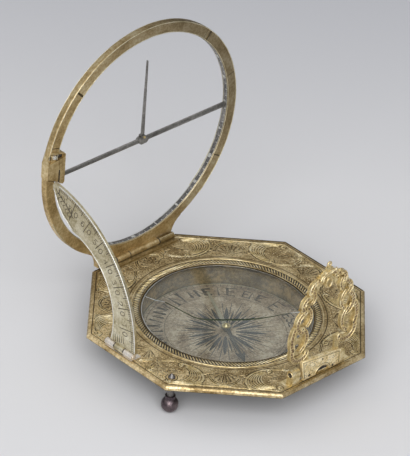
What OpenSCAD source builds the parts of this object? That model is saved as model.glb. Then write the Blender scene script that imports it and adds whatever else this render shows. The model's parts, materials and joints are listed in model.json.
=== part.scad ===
// Universal equatorial compass dial: an octagonal plate with a sunk compass, a hinged hour ring
// with its gnomon, a hinged latitude arc, a hinged plumb bracket and three levelling screws.
// Frame: X along the hour ring's hinge, +Y towards that hinge, +Z up.
// The origin is the centre of the compass box's flat underside. Heights named *_z are above the
// top of the plate.

/* [Plate] */
// Width across the flats of the octagonal plate
plate_af = 100; // [98:0.5:110]
// Thickness of the plate
plate_t = 1.5; // [1.2:0.1:2]
// Chamfer along the top edge of the plate
plate_chamfer = 0.5; // [0.2:0.1:0.8]

/* [Compass] */
// Outer radius of the sunk compass box and of the opening in the plate
box_r = 34.6; // [34:0.1:35]
// Height of the compass box, from its underside to the top of the plate
box_h = 10; // [9:0.5:12]
// Thickness of the compass box's floor
box_floor = 1; // [0.8:0.1:1.5]
// Radius of the visible glass
glass_open_r = 31.6; // [30:0.1:32]
// Thickness of the glass
glass_t = 0.9; // [0.7:0.1:1.2]
// Depth of the glass below the top of the plate
glass_sink = 0.6; // [0.4:0.1:0.8]
// Length of each half of the compass needle
needle_reach = 23; // [18:0.5:28]
// Direction of the needle's arrow, measured from +X
needle_heading = 243.5; // [0:0.5:360]

/* [Hour ring] */
// Outer radius of the hour ring
ring_r = 46.95; // [46.5:0.05:47]
// Inner radius of the hour ring
ring_inner_r = 42.65; // [42:0.05:43.5]
// Thickness of the hour ring along its axis
ring_t = 2.6; // [2.2:0.1:2.8]
// Distance from the ring's hinge axis to its centre
ring_arm = 47.6; // [47.5:0.1:48]
// Length of the whole ring hinge
ring_hinge_len = 36; // [32:1:38]
// Length of the gnomon above its hub
gnomon_len = 32.3; // [26:0.1:33]

/* [Latitude arc] */
// Outer radius of the latitude arc, about the ring's hinge axis
arc_r = 50.7; // [50:0.1:51]
// Radius of the arc's inner edge, which is struck from a nearer centre
arc_inner_r = 27.5; // [27:0.1:28]
// Thickness of the latitude arc
arc_t = 1; // [0.8:0.1:1]

/* [Plumb bracket] */
// Thickness of the pierced arch
arch_t = 0.9; // [0.8:0.05:0.9]
// Thickness of the pierced foot plate
foot_plate_t = 1; // [0.8:0.05:1]

/* [Levelling screws] */
// Radius of a screw's stem
stem_r = 1.3; // [1.1:0.1:1.4]
// Radius of a ball foot
ball_r = 3.15; // [2.8:0.05:3.4]
// Height of the top of the plate above the surface that the dial stands on
stand_h = 14.5; // [14:0.1:16]

/* [Hidden] */
$fn = 96;
fine = 180;

half_af = plate_af / 2;
octagon_r = half_af / cos(22.5);

// Compass levels
box_wall_r = 31.2;
flange_r = 37.2;
flange_t = 1.2;
dial_top_z = -box_h + box_floor + 0.7;
needle_z = dial_top_z + 1.8;
needle_t = 0.35;
box_screw_r = 0.55;
box_screw_ring = 36;

// Hinges: knuckle radius, pin radius and the play of a turning knuckle
knuckle_r = 1.2;
pin_r = 0.5;
pin_play = 0.03;
knuckle_gap = 0.2;
leaf_t = 0.6;
rivet_r = 0.5;

// Hour ring: its hinge axis, and its near face when it stands upright
ring_hinge_y = 48.5;
ring_hinge_z = 1.3;
ring_face_y = 49.6;
ring_z = ring_hinge_z + ring_arm;
ring_mid_y = ring_face_y + ring_t / 2;
ring_knuckle_half = 10.5;
lug_half = ring_hinge_len / 2;
lug_fillet = 9;

// Crossbar: its axis, and where the hub sits on it
bar_z = ring_z - 0.9;
hub_x = 1;

// Index block on the ring's west end, with the bearing of the crossbar
block_left = -46.65;
block_right = -38.4;
block_low = ring_z - 3.5;
block_high = ring_z + 11.5;
block_proud = 0.5;
tongue_top = 56;
tongue_screw_x = -43.7;
tongue_screw_z = 57.9;
tongue_left = -46.3;
tongue_right = -41.2;
pivot_r = 0.6;

// Latitude arc
arc_hinge_x = -48;
arc_hinge_z = 1.35;
arc_face_x = arc_hinge_x + 0.1;
arc_hinge_from = -1.6;
arc_hinge_to = 12.2;
arc_knuckle_from = 3;
arc_knuckle_to = 7.6;
arc_inner_centre = [37.5, 9.2];

// Plumb bracket
bracket_hinge_y = -47.4;
bracket_hinge_z = 1.15;
bracket_knuckle_r = 1;
bracket_pin_r = 0.45;
arch_face_y = bracket_hinge_y + 0.9;
foot_left = -9.2;
foot_right = 9.2;

// Levelling screws
foot_x = 44.2;
foot_y = -17.7;
rear_foot_y = 41;
bush_r = 2.5;
bush_h = 2.6;

// Raises a shape from the plate's top level to the part's frame.
module on_plate() {
  translate([0, 0, box_h]) children();
}

module octagon() {
  rotate(22.5) circle(r = octagon_r, $fn = 8);
}

// Lies a profile drawn in (Y, Z) upright, starting at x and growing along +X.
module along_x(x, length) {
  translate([x, 0, 0]) rotate([90, 0, 90]) linear_extrude(length) children();
}

// Lies a profile drawn in (X, Z) upright, starting at y and growing along +Y.
module along_y(y, length) {
  translate([0, y + length, 0]) rotate([90, 0, 0]) linear_extrude(length) children();
}

// A rod along X between two x values.
module rod_x(x0, x1, y, z, r, sides = 48) {
  translate([x0, y, z]) rotate([0, 90, 0]) cylinder(r = r, h = x1 - x0, $fn = sides);
}

// A rod along Y between two y values.
module rod_y(y0, y1, x, z, r, sides = 48) {
  translate([x, y1, z]) rotate([90, 0, 0]) cylinder(r = r, h = y1 - y0, $fn = sides);
}

function foot_places() = [[-foot_x, foot_y], [foot_x, foot_y], [0, rear_foot_y]];

// Base

module ring_leaf_outline() {
  translate([-lug_half, ring_hinge_y - 3]) square([2 * lug_half, 3.4]);
}

module arc_leaf_outline() {
  translate([arc_hinge_x - 1, arc_hinge_from]) square([5, arc_hinge_to - arc_hinge_from]);
}

module bracket_leaf_outline() {
  translate([-16, bracket_hinge_y - 1.2]) square([31, 5.2]);
}

module base_plate() {
  color("darkkhaki") on_plate() difference() {
    translate([0, 0, -plate_t]) linear_extrude(plate_t) octagon();
    translate([0, 0, -plate_t - 1]) cylinder(r = box_r, h = plate_t + 2, $fn = fine);
    for (side = [0 : 7]) rotate(45 * side) translate([half_af, 0, 0]) rotate([0, 45, 0])
      cube([plate_chamfer * sqrt(2), plate_af, plate_chamfer * sqrt(2)], center = true);
    for (side = [0, 1]) translate([foot_places()[side][0], foot_y, -plate_t - 1])
      cylinder(r = stem_r + 0.05, h = plate_t + 2);
    for (turn = [30 : 120 : 270]) rotate(turn) translate([box_screw_ring, 0, -plate_t - 1])
      cylinder(r = box_screw_r, h = plate_t + 0.4, $fn = 24);
    translate([0, 0, -leaf_t]) linear_extrude(leaf_t + 1) arc_leaf_outline();
    translate([0, 0, -leaf_t]) linear_extrude(leaf_t + 1) bracket_leaf_outline();
    for (place = rivet_places()) translate([place[0], place[1], -plate_t - 1])
      cylinder(r = rivet_r, h = plate_t + 2, $fn = 24);
  }
}

function ring_rivets() = [for (x = [-15.6, -5.2, 5.2, 15.6]) [x, ring_hinge_y - 2.1]];
function arc_rivets() = [for (y = [0.6, 5.3, 10]) [arc_hinge_x + 3.2, y]];
function bracket_rivets() = [for (x = [-12.5, -4.2, 4.2, 12.5]) [x, bracket_hinge_y + 2.9]];
function rivet_places() = concat(ring_rivets(), arc_rivets(), bracket_rivets());

// Rivets through a leaf and the plate, flush below and slightly domed above.
module rivets(places, top_z, head_h) {
  on_plate() for (place = places) translate([place[0], place[1], 0]) {
    translate([0, 0, -plate_t]) cylinder(r = rivet_r, h = plate_t + top_z, $fn = 24);
    translate([0, 0, top_z]) cylinder(r1 = rivet_r, r2 = rivet_r * 0.6, h = head_h, $fn = 24);
  }
}

// Compass

module compass_box() {
  color("goldenrod") on_plate() difference() {
    union() {
      translate([0, 0, -box_h]) cylinder(r = box_r, h = box_h - glass_sink, $fn = fine);
      translate([0, 0, -plate_t - flange_t]) cylinder(r = flange_r, h = flange_t, $fn = fine);
    }
    translate([0, 0, -box_h + box_floor]) cylinder(r = box_wall_r, h = box_h, $fn = fine);
    translate([0, 0, -glass_sink - glass_t])
      cylinder(r = box_wall_r + 1.4, h = box_h, $fn = fine);
    for (turn = [30 : 120 : 270]) rotate(turn)
      translate([box_screw_ring, 0, -plate_t - flange_t - 1])
        cylinder(r = box_screw_r, h = flange_t + 2, $fn = 24);
    translate([0, 0, -box_h - 1]) cylinder(r = 0.5, h = box_floor + 2, $fn = 24);
  }
}

module compass_dial() {
  color("silver") on_plate() difference() {
    translate([0, 0, -box_h + box_floor]) cylinder(r = box_wall_r - 0.1, h = 0.7, $fn = fine);
    translate([0, 0, -box_h]) cylinder(r = 0.5, h = box_h, $fn = 24);
  }
}

module compass_glass() {
  color("lightcyan", 0.4) on_plate() translate([0, 0, -glass_sink - glass_t])
    cylinder(r = box_wall_r + 1.3, h = glass_t, $fn = fine);
}

// Flush ring that holds the glass down, with a bevel towards the glass.
module glass_bezel() {
  color("goldenrod") on_plate() rotate_extrude($fn = fine)
    polygon([[glass_open_r, -glass_sink], [box_r, -glass_sink], [box_r, 0],
             [glass_open_r + 0.4, 0], [glass_open_r, -0.3]]);
}

module box_screws() {
  color("goldenrod") on_plate() for (turn = [30 : 120 : 270]) rotate(turn)
    translate([box_screw_ring, 0, 0]) {
      translate([0, 0, -plate_t - flange_t])
        cylinder(r = box_screw_r, h = flange_t + 0.4, $fn = 24);
      translate([0, 0, -plate_t - flange_t - 0.6]) difference() {
        cylinder(r = 1.1, h = 0.6, $fn = 32);
        translate([0, 0, 0.1]) cube([3, 0.3, 0.5], center = true);
      }
    }
}

module compass_pivot() {
  color("slategray") on_plate() {
    translate([0, 0, -box_h]) cylinder(r = 0.5, h = box_floor + 0.9, $fn = 24);
    translate([0, 0, dial_top_z]) cylinder(r = 0.9, h = 0.5, $fn = 32);
    translate([0, 0, dial_top_z + 0.5]) cylinder(r = 0.3, h = 1.5, $fn = 24);
    translate([0, 0, dial_top_z + 2]) cylinder(r1 = 0.3, r2 = 0.05, h = 0.5, $fn = 24);
  }
}

module needle_outline() {
  head = needle_reach;
  difference() {
    union() {
      polygon([[-needle_reach, 0.35], [-2.2, 0.8], [2.2, 0.8], [head - 5, 0.35], [head - 6, 1.9],
               [head, 0], [head - 6, -1.9], [head - 5, -0.35], [2.2, -0.8], [-2.2, -0.8],
               [-needle_reach, -0.35]]);
      circle(r = 2);
    }
    circle(r = 1.1, $fn = 48);
  }
}

module compass_needle() {
  color("midnightblue") on_plate() translate([0, 0, needle_z]) rotate(needle_heading)
    linear_extrude(needle_t) needle_outline();
}

module needle_cap() {
  color("goldenrod") on_plate() translate([0, 0, needle_z]) difference() {
    union() {
      translate([0, 0, -0.25]) cylinder(r = 1.1, h = 0.9, $fn = 48);
      translate([0, 0, needle_t]) cylinder(r = 1.5, h = 0.3, $fn = 48);
      translate([0, 0, 0.65]) cylinder(r1 = 1.1, r2 = 0.45, h = 0.8, $fn = 48);
    }
    translate([0, 0, -1]) cylinder(r = 0.55, h = 1.95, $fn = 24);
  }
}

// Ring hinge

module ring_hinge_leaf() {
  color("goldenrod") on_plate() difference() {
    union() {
      linear_extrude(leaf_t) difference() {
        ring_leaf_outline();
        translate([-ring_knuckle_half - knuckle_gap, ring_hinge_y - knuckle_r - 0.1])
          square([2 * (ring_knuckle_half + knuckle_gap), 5]);
      }
      for (side = [-1, 1]) ring_fixed_knuckle(side);
    }
    rod_x(-lug_half - 1, lug_half + 1, ring_hinge_y, ring_hinge_z, pin_r);
    for (place = ring_rivets()) translate([place[0], place[1], -1])
      cylinder(r = rivet_r, h = 3, $fn = 24);
  }
}

module ring_fixed_knuckle(side) {
  inner = ring_knuckle_half + knuckle_gap;
  x0 = side > 0 ? inner : -lug_half;
  rod_x(x0, x0 + lug_half - inner, ring_hinge_y, ring_hinge_z, knuckle_r);
  translate([x0, ring_hinge_y - 0.9, 0]) cube([lug_half - inner, 1.2, ring_hinge_z - 0.3]);
}

module ring_hinge_pin() {
  color("slategray") on_plate() {
    rod_x(-lug_half - 0.3, lug_half + 0.3, ring_hinge_y, ring_hinge_z, pin_r);
  }
}

module ring_leaf_rivets() {
  color("goldenrod") rivets(ring_rivets(), leaf_t, 0.18);
}

// Hour ring

module ring_section() {
  c = 0.3;
  polygon([[ring_inner_r, c], [ring_inner_r + c, 0], [ring_r - c, 0], [ring_r, c],
           [ring_r, ring_t - c], [ring_r - c, ring_t], [ring_inner_r + c, ring_t],
           [ring_inner_r, ring_t - c]]);
}

// Flared lug between the hinge and the ring, drawn in (X, Z).
module lug_outline() {
  rise = lug_half + lug_fillet;
  fillet_z = ring_z - sqrt(pow(ring_r + lug_fillet, 2) - pow(rise, 2));
  touch_x = rise * ring_r / (ring_r + lug_fillet);
  touch_z = ring_z - (ring_z - fillet_z) * ring_r / (ring_r + lug_fillet);
  difference() {
    polygon([[-lug_half, 0.3], [lug_half, 0.3], [lug_half, fillet_z], [rise, fillet_z],
             [touch_x, touch_z], [-touch_x, touch_z], [-rise, fillet_z],
             [-lug_half, fillet_z]]);
    for (side = [-1, 1]) translate([side * rise, fillet_z]) circle(r = lug_fillet, $fn = 96);
    translate([0, ring_z]) circle(r = ring_inner_r + 0.5, $fn = fine);
  }
}

// Height of the block's slanted lower edge.
function block_foot(x) = block_low + 0.45 * (block_right - x);

module index_block() {
  difference() {
    along_y(ring_face_y - block_proud, ring_t + 2 * block_proud - 0.1)
      polygon([[block_left, block_foot(block_left)], [block_right - 0.8, block_foot(block_right)],
               [block_right, block_low + 0.6], [block_right, block_high - 2.7],
               [block_right - 1, block_high - 1.7], [block_left + 1.6, block_high],
               [block_left, block_high - 5]]);
    along_y(ring_face_y - 2, ring_t + 4) translate([tongue_right, block_low - 1])
      square([0.5, 7.5]);
  }
}

// Recess for the spring tongue, open at the bottom.
module tongue_recess() {
  along_y(ring_face_y - 2 * block_proud, 2 * block_proud + 0.5)
    polygon([[tongue_left, block_foot(tongue_left) - 0.3],
             [tongue_right, block_foot(tongue_right) - 0.3], [tongue_right, tongue_top + 0.3],
             [block_right - 0.6, tongue_top + 0.3], [block_right - 0.6, block_high - 2.4],
             [tongue_left + 0.7, block_high - 0.8], [tongue_left, block_high - 3]]);
}

module hour_ring() {
  axis_cut = knuckle_r + 0.15;
  color("darkgoldenrod") on_plate() difference() {
    union() {
      translate([0, ring_face_y + ring_t, ring_z]) rotate([90, 0, 0])
        rotate_extrude($fn = fine) mirrored_section();
      along_y(ring_face_y, ring_t) lug_outline();
      rod_x(-ring_knuckle_half, ring_knuckle_half, ring_hinge_y, ring_hinge_z, knuckle_r);
      translate([-ring_knuckle_half, ring_hinge_y, 0.3])
        cube([2 * ring_knuckle_half, ring_face_y - ring_hinge_y + 0.5, 2]);
      index_block();
    }
    rod_x(-lug_half - 1, lug_half + 1, ring_hinge_y, ring_hinge_z, pin_r + pin_play);
    for (side = [-1, 1]) translate([side * (ring_knuckle_half + 10), 0, 0])
      rod_x(-10, 10, ring_hinge_y, ring_hinge_z, axis_cut);
    translate([block_left - 10, ring_face_y - 5, block_low - 14]) cube([10, 15, 34]);
    tongue_recess();
    rod_x(block_right - 2.4, block_right + 1, ring_mid_y, bar_z, pivot_r + pin_play);
    rod_x(ring_inner_r - 1, ring_inner_r + 2.4, ring_mid_y, bar_z, pivot_r + pin_play);
    rod_y(ring_face_y - 1, ring_face_y + 1.6, tongue_screw_x, tongue_screw_z, 0.4, 24);
  }
}

// The section seen from the far face, so that the near face lies at ring_face_y.
module mirrored_section() {
  translate([0, ring_t]) mirror([0, 1]) ring_section();
}

// Flat spring tongue that lies in the block's recess, with a thin tail under its screw.
module index_tongue() {
  right = tongue_right - 0.15;
  left = tongue_left + 0.15;
  color("goldenrod") on_plate() difference() {
    union() {
      along_y(ring_face_y - 0.45, 0.55)
        polygon([[left, block_foot(left) + 0.3], [right, block_foot(right) + 0.3],
                 [right, tongue_top], [left, tongue_top - 0.3]]);
      along_y(ring_face_y + 0.05, 0.4) translate([tongue_screw_x - 1.1, tongue_top - 1.5])
        square([2.2, 4.2]);
    }
    rod_y(ring_face_y - 1, ring_face_y + 1, tongue_screw_x, tongue_screw_z, 0.45, 24);
  }
}

module tongue_screw() {
  color("silver") on_plate() {
    rod_y(ring_face_y, ring_face_y + 1.6, tongue_screw_x, tongue_screw_z, 0.4, 24);
    difference() {
      rod_y(ring_face_y - 0.6, ring_face_y + 0.02, tongue_screw_x, tongue_screw_z, 0.8, 32);
      along_y(ring_face_y - 1, 0.6) translate([tongue_screw_x, tongue_screw_z]) rotate(35)
        square([2.4, 0.25], center = true);
    }
  }
}

// Crossbar and gnomon

bar_west = block_right + 0.25;
bar_east = sqrt(pow(ring_inner_r, 2) - 1) - 0.25;

// A ridged bar that grows towards its east end, carried on two pivots.
module crossbar() {
  color("gray") on_plate() {
    intersection() {
      along_x(bar_west, bar_east - bar_west) translate([ring_mid_y, bar_z])
        polygon([[-0.75, 0], [-0.35, 0.95], [0.35, 0.95], [0.75, 0], [0.35, -0.95],
                 [-0.35, -0.95]]);
      along_y(ring_mid_y - 2, 4) translate([0, bar_z])
        polygon([[bar_west, -0.62], [bar_east, -0.95], [bar_east, 0.95], [bar_west, 0.62]]);
    }
    rod_x(block_right - 2.2, bar_west, ring_mid_y, bar_z, pivot_r);
    rod_x(bar_east, ring_inner_r + 2.2, ring_mid_y, bar_z, pivot_r);
  }
}

hub_half = 2.2;
hub_r = 1.25;
hub_t = 2.2;
neck_half = 0.8;
neck_z = bar_z + 2;
gnomon_t = 0.8;
gnomon_half = 0.6;
gnomon_foot_z = bar_z + 1;
gnomon_pin_z = bar_z + 1.5;

module hub_outline() {
  translate([hub_x, bar_z]) {
    square([2 * (hub_half - hub_r), 2 * hub_r], center = true);
    for (side = [-1, 1]) translate([side * (hub_half - hub_r), 0]) circle(r = hub_r, $fn = 48);
  }
  translate([hub_x - neck_half, bar_z]) square([2 * neck_half, neck_z - bar_z]);
}

// Hub with a forked neck that holds the gnomon's foot.
module gnomon_hub() {
  color("gray") on_plate() difference() {
    along_y(ring_mid_y - hub_t / 2, hub_t) hub_outline();
    along_x(hub_x - 4, 8) translate([ring_mid_y, bar_z])
      polygon([[-0.76, 0], [-0.36, 0.96], [0.36, 0.96], [0.76, 0], [0.36, -0.96],
               [-0.36, -0.96]]);
    along_y(ring_mid_y - gnomon_t / 2 - 0.02, gnomon_t + 0.04)
      translate([hub_x - 3, gnomon_foot_z - 0.02]) square([6, 4]);
    rod_y(ring_mid_y - 3, ring_mid_y - 0.2, hub_x, gnomon_pin_z, 0.2, 24);
  }
}

module gnomon() {
  tip_z = gnomon_foot_z + gnomon_len;
  color("gray") on_plate() difference() {
    along_y(ring_mid_y - gnomon_t / 2, gnomon_t) translate([hub_x, 0])
      polygon([[-gnomon_half, gnomon_foot_z], [gnomon_half, gnomon_foot_z],
               [gnomon_half, neck_z + 0.5], [0.14, tip_z], [-0.14, tip_z],
               [-gnomon_half, neck_z + 0.5]]);
    rod_y(ring_mid_y - 3, ring_mid_y + 3, hub_x, gnomon_pin_z, 0.2, 24);
  }
}

module gnomon_pin() {
  front_y = ring_mid_y - hub_t / 2;
  color("gray") on_plate() {
    rod_y(front_y - 0.05, ring_mid_y + gnomon_t / 2, hub_x, gnomon_pin_z, 0.18, 24);
    rod_y(front_y - 0.3, front_y, hub_x, gnomon_pin_z, 0.45, 32);
  }
}

// Arc hinge

module arc_hinge_leaf() {
  color("beige") on_plate() difference() {
    union() {
      translate([0, 0, -leaf_t]) linear_extrude(leaf_t) arc_leaf_outline();
      arc_fixed_knuckle(arc_hinge_from, arc_knuckle_from - knuckle_gap);
      arc_fixed_knuckle(arc_knuckle_to + knuckle_gap, arc_hinge_to);
    }
    rod_y(arc_hinge_from - 1, arc_hinge_to + 1, arc_hinge_x, arc_hinge_z, pin_r);
    for (place = arc_rivets()) translate([place[0], place[1], -2])
      cylinder(r = rivet_r, h = 3, $fn = 24);
  }
}

module arc_fixed_knuckle(y0, y1) {
  rod_y(y0, y1, arc_hinge_x, arc_hinge_z, knuckle_r);
  translate([arc_hinge_x - 0.6, y0, 0]) cube([1.2, y1 - y0, arc_hinge_z]);
}

module arc_hinge_pin() {
  color("slategray") on_plate()
    rod_y(arc_hinge_from - 0.3, arc_hinge_to + 0.3, arc_hinge_x, arc_hinge_z, pin_r);
}

module arc_leaf_rivets() {
  color("goldenrod") rivets(arc_rivets(), 0, 0.05);
}

// The arc's tip, from the inner edge round to the outer one, about the ring's hinge axis
arc_tip = [[-15.2, 34.9], [-12.2, 37.2], [-9.9, 38.8], [-7.3, 41.7], [-5.6, 44.8], [-3.9, 47.3],
           [-3.5, 48.9], [-4.4, 50.4]];

// Graduated quadrant with a narrowed tip, drawn in (Y, Z).
module arc_outline() {
  foot_z = arc_hinge_z + knuckle_r + 0.2;
  translate([ring_hinge_y, ring_hinge_z]) difference() {
    circle(r = arc_r, $fn = fine);
    translate(arc_inner_centre - [ring_hinge_y, ring_hinge_z])
      circle(r = arc_inner_r, $fn = fine);
    polygon(concat(arc_tip, [[-4.6, 60], [60, 60], [60, -5], [-12.6, -5]]));
    translate([-arc_r * 2, -arc_r * 2]) square([arc_r * 4, arc_r * 2 + foot_z - ring_hinge_z]);
  }
}

module latitude_arc() {
  color("palegoldenrod") on_plate() difference() {
    union() {
      along_x(arc_face_x, arc_t) arc_outline();
      rod_y(arc_knuckle_from, arc_knuckle_to, arc_hinge_x, arc_hinge_z, knuckle_r);
      along_x(arc_face_x, arc_t) translate([arc_knuckle_from, arc_hinge_z])
        square([arc_knuckle_to - arc_knuckle_from, knuckle_r + 1]);
    }
    rod_y(arc_hinge_from - 1, arc_hinge_to + 1, arc_hinge_x, arc_hinge_z, pin_r + pin_play);
  }
}

// Plumb bracket

// The hinge's fixed lugs: a tall hollow one on the left and a plain one on the right
left_lug_from = -14.6;
left_lug_to = -11;
right_lug_from = foot_right + 0.25;
right_lug_to = 11.9;
lug_back_y = -45.45;
middle_lug_from = -1.7;
middle_lug_to = 2.3;
middle_lug_r = 0.9;
bracket_pin_from = left_lug_to - 2.5;
bracket_pin_to = right_lug_to - 0.6;

// Upright lug with a round top, drawn in (Y, Z).
module lug_section(front_y, top_z) {
  half = (lug_back_y - front_y) / 2;
  translate([front_y, -leaf_t]) square([2 * half, top_z - half + leaf_t]);
  translate([front_y + half, top_z - half]) circle(r = half, $fn = 48);
}

module bracket_hinge_leaf() {
  color("goldenrod") on_plate() difference() {
    union() {
      translate([0, 0, -leaf_t]) linear_extrude(leaf_t) bracket_leaf_outline();
      along_x(left_lug_from, left_lug_to - left_lug_from) lug_section(-48.35, 6);
      along_x(right_lug_from, right_lug_to - right_lug_from) lug_section(-48.15, 5);
      rod_x(middle_lug_from, middle_lug_to, bracket_hinge_y, bracket_hinge_z, middle_lug_r);
      translate([middle_lug_from, bracket_hinge_y - 0.6, -0.1])
        cube([middle_lug_to - middle_lug_from, 1.2, bracket_hinge_z]);
    }
    rod_x(bracket_pin_from, bracket_pin_to, bracket_hinge_y, bracket_hinge_z, bracket_pin_r);
    rod_x(left_lug_from - 1, left_lug_to + 1, -46.9, 4.2, 0.85);
    for (place = bracket_rivets()) translate([place[0], place[1], -2])
      cylinder(r = rivet_r, h = 3, $fn = 24);
  }
}

module bracket_hinge_pin() {
  color("slategray") on_plate()
    rod_x(bracket_pin_from, bracket_pin_to, bracket_hinge_y, bracket_hinge_z, bracket_pin_r);
}

module bracket_leaf_rivets() {
  color("goldenrod") rivets(bracket_rivets(), 0, 0.05);
}

// Scrolls of one side of the arch: x, z, radius of the middle line, first and last angle, width
arch_scrolls = [[11.6, 13.8, 4.1, -155, 24, 1.7], [5.5, 19.2, 10.6, -22, 27, 1.7],
                [14.4, 18.4, 5.6, 126, 238, 1.3], [9.6, 25.4, 4.3, -75, 88, 1.6],
                [12.3, 27.2, 4.8, 126, 230, 1.2], [8.9, 32.2, 2.9, -70, 105, 1.5],
                [9.5, 34.9, 3.1, 136, 234, 1.2], [5.6, 37.4, 2.9, -55, 128, 1.4]];
// Round eyes at the scrolls' ends: x, z, radius
arch_eyes = [[8.3, 11.9, 1.25], [11.2, 22.9, 1.1], [10.6, 29.6, 1], [8.2, 35.2, 0.9],
             [3.5, 40, 1]];
// Leaves between the scrolls: x, z, radius of each thin disc, and radius of its piercing
arch_leaves = [[12.6, 15.6, 3.4, 1.2], [12, 20, 3.3, 1.1], [10.8, 25.6, 3, 1],
               [9.2, 32, 2.2, 0.8], [5.9, 37.2, 2.3, 0.9]];
leaf_piece_t = 0.5;
scroll_t = 1.3;
crown_z = 38;
eye_r = 0.8;
eye_wire_r = 0.35;
eye_low_z = crown_z + 6.5;

// Part of a ring between two angles, with round ends.
module scroll_band(scroll) {
  r = scroll[2];
  turn = scroll[4] - scroll[3];
  translate([scroll[0], scroll[1]]) {
    intersection() {
      difference() {
        circle(r = r + scroll[5] / 2, $fn = 96);
        circle(r = r - scroll[5] / 2, $fn = 96);
      }
      polygon(concat([[0, 0]], [for (i = [0 : 6])
        3 * r * [cos(scroll[3] + turn * i / 6), sin(scroll[3] + turn * i / 6)]]));
    }
    for (a = [scroll[3], scroll[4]])
      translate(r * [cos(a), sin(a)]) circle(r = scroll[5] / 2 + 0.08, $fn = 32);
  }
}

module scroll_outline() {
  for (side = [0, 1]) mirror([side, 0]) {
    for (scroll = arch_scrolls) scroll_band(scroll);
    for (eye = arch_eyes) translate([eye[0], eye[1]]) circle(r = eye[2], $fn = 32);
  }
  scroll_band([0, crown_z, 4.5, 32, 148, 1.5]);
  difference() {
    translate([0, crown_z]) circle(r = 2, $fn = 48);
    translate([0, crown_z]) circle(r = 1.1, $fn = 48);
  }
  translate([-1.1, crown_z + 1.5]) square([2.2, 4.6]);
  translate([0, crown_z + 5.9]) circle(r = 1.2, $fn = 32);
}

// Thin leaves, and the bar behind the foot plate with a stem up to each leg.
module leaf_outline() {
  for (side = [0, 1]) mirror([side, 0]) {
    for (piece = arch_leaves) translate([piece[0], piece[1]]) difference() {
      circle(r = piece[2], $fn = 48);
      circle(r = piece[3], $fn = 32);
    }
    translate([3.4, crown_z + 1.2]) circle(r = 1.9, $fn = 32);
  }
}

module foot_bar_outline() {
  translate([-8.6, 3.3]) square([17.2, 4]);
  for (side = [-1, 1]) translate([side * 7.6 - 1.15, 5]) square([2.3, 7.2]);
}

module plumb_bracket() {
  color("gold") on_plate() difference() {
    union() {
      along_y(arch_face_y - scroll_t, scroll_t) scroll_outline();
      along_y(arch_face_y - leaf_piece_t, leaf_piece_t) leaf_outline();
      along_y(arch_face_y - arch_t, arch_t) foot_bar_outline();
    }
    for (place = foot_rivet_places())
      rod_y(arch_face_y - 2, arch_face_y + 1, place[0], place[1], rivet_r, 24);
    translate([-3, arch_face_y - scroll_t / 2 - 0.37, eye_low_z - 0.03]) cube([6, 0.74, 3]);
  }
}

function foot_rivet_places() = [for (x = [-7.2, 7.2]) [x, 5.2]];

// Pierced foot plate on the outer side, with the moving knuckle along its lower edge.
module bracket_foot_plate() {
  back_y = arch_face_y - arch_t;
  front_y = back_y - foot_plate_t;
  color("gold") on_plate() difference() {
    union() {
      along_y(front_y, foot_plate_t)
        polygon([[foot_left, 0.35], [foot_right, 0.35], [foot_right, 6.2],
                 [foot_right - 0.6, 6.8], [foot_left - 1.2, 9.3], [foot_left - 1.6, 8.9]]);
      rod_x(foot_left, foot_right, bracket_hinge_y, bracket_hinge_z, bracket_knuckle_r);
    }
    rod_x(foot_left - 1, foot_right + 1, bracket_hinge_y, bracket_hinge_z,
          bracket_pin_r + pin_play);
    along_y(front_y - 1, 5) translate([0.3, -0.6]) circle(r = 3.5, $fn = 64);
    rod_x(middle_lug_from - 0.3, middle_lug_to + 0.3, bracket_hinge_y, bracket_hinge_z,
          bracket_knuckle_r + 0.15);
    along_y(arch_face_y - scroll_t - 0.02, 2) translate([-arch_scrolls[0][0], arch_scrolls[0][1]])
      circle(r = arch_scrolls[0][2] + arch_scrolls[0][5] / 2 + 0.1, $fn = 96);
    rod_y(front_y - 1, front_y + 0.4, -6.3, 1.5, 0.55, 32);
    rod_y(front_y - 1, front_y + 0.4, 5.5, 1.1, 0.55, 32);
    rod_y(front_y - 1, front_y + 0.4, 0, 5.9, 0.4, 24);
    for (place = foot_rivet_places())
      rod_y(front_y - 1, back_y + 1, place[0], place[1], rivet_r, 24);
  }
}

module foot_plate_rivets() {
  color("goldenrod") on_plate() for (place = foot_rivet_places()) {
    rod_y(arch_face_y - arch_t - foot_plate_t, arch_face_y, place[0], place[1], rivet_r, 24);
  }
}

// Small wire eye soldered into the crown's slot, from which the plumb line hangs.
module plumb_hook() {
  color("goldenrod") on_plate()
    translate([0, arch_face_y - scroll_t / 2, eye_low_z + eye_r + eye_wire_r]) rotate([90, 0, 0])
      rotate_extrude($fn = 48) translate([eye_r, 0]) circle(r = eye_wire_r, $fn = 24);
}

// Levelling screws

module levelling_bushes() {
  color("goldenrod") on_plate() for (place = foot_places())
    translate([place[0], place[1], -plate_t - bush_h]) difference() {
      cylinder(r = bush_r, h = bush_h, $fn = 48);
      translate([0, 0, -1]) cylinder(r = stem_r + 0.05, h = bush_h + 2);
    }
}

module screw_stem(place, top_z, point_h) {
  foot_z = ball_r - stand_h;
  on_plate() translate([place[0], place[1], 0]) {
    translate([0, 0, foot_z + 2]) cylinder(r = stem_r, h = top_z - point_h - foot_z - 2);
    translate([0, 0, top_z - point_h]) cylinder(r1 = stem_r, r2 = 0.15, h = point_h);
  }
}

// Ball foot with a socket that the stem is soldered into.
module ball_foot(place) {
  on_plate() translate([place[0], place[1], ball_r - stand_h]) difference() {
    union() {
      sphere(r = ball_r, $fn = 96);
      cylinder(r = 1.9, h = ball_r + 0.6, $fn = 48);
    }
    translate([0, 0, 2]) cylinder(r = stem_r, h = ball_r + 1);
  }
}

module screw_stem_left() {
  color("slategray") screw_stem(foot_places()[0], 1.7, 1.3);
}

module ball_foot_left() {
  color("saddlebrown") ball_foot(foot_places()[0]);
}

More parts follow.
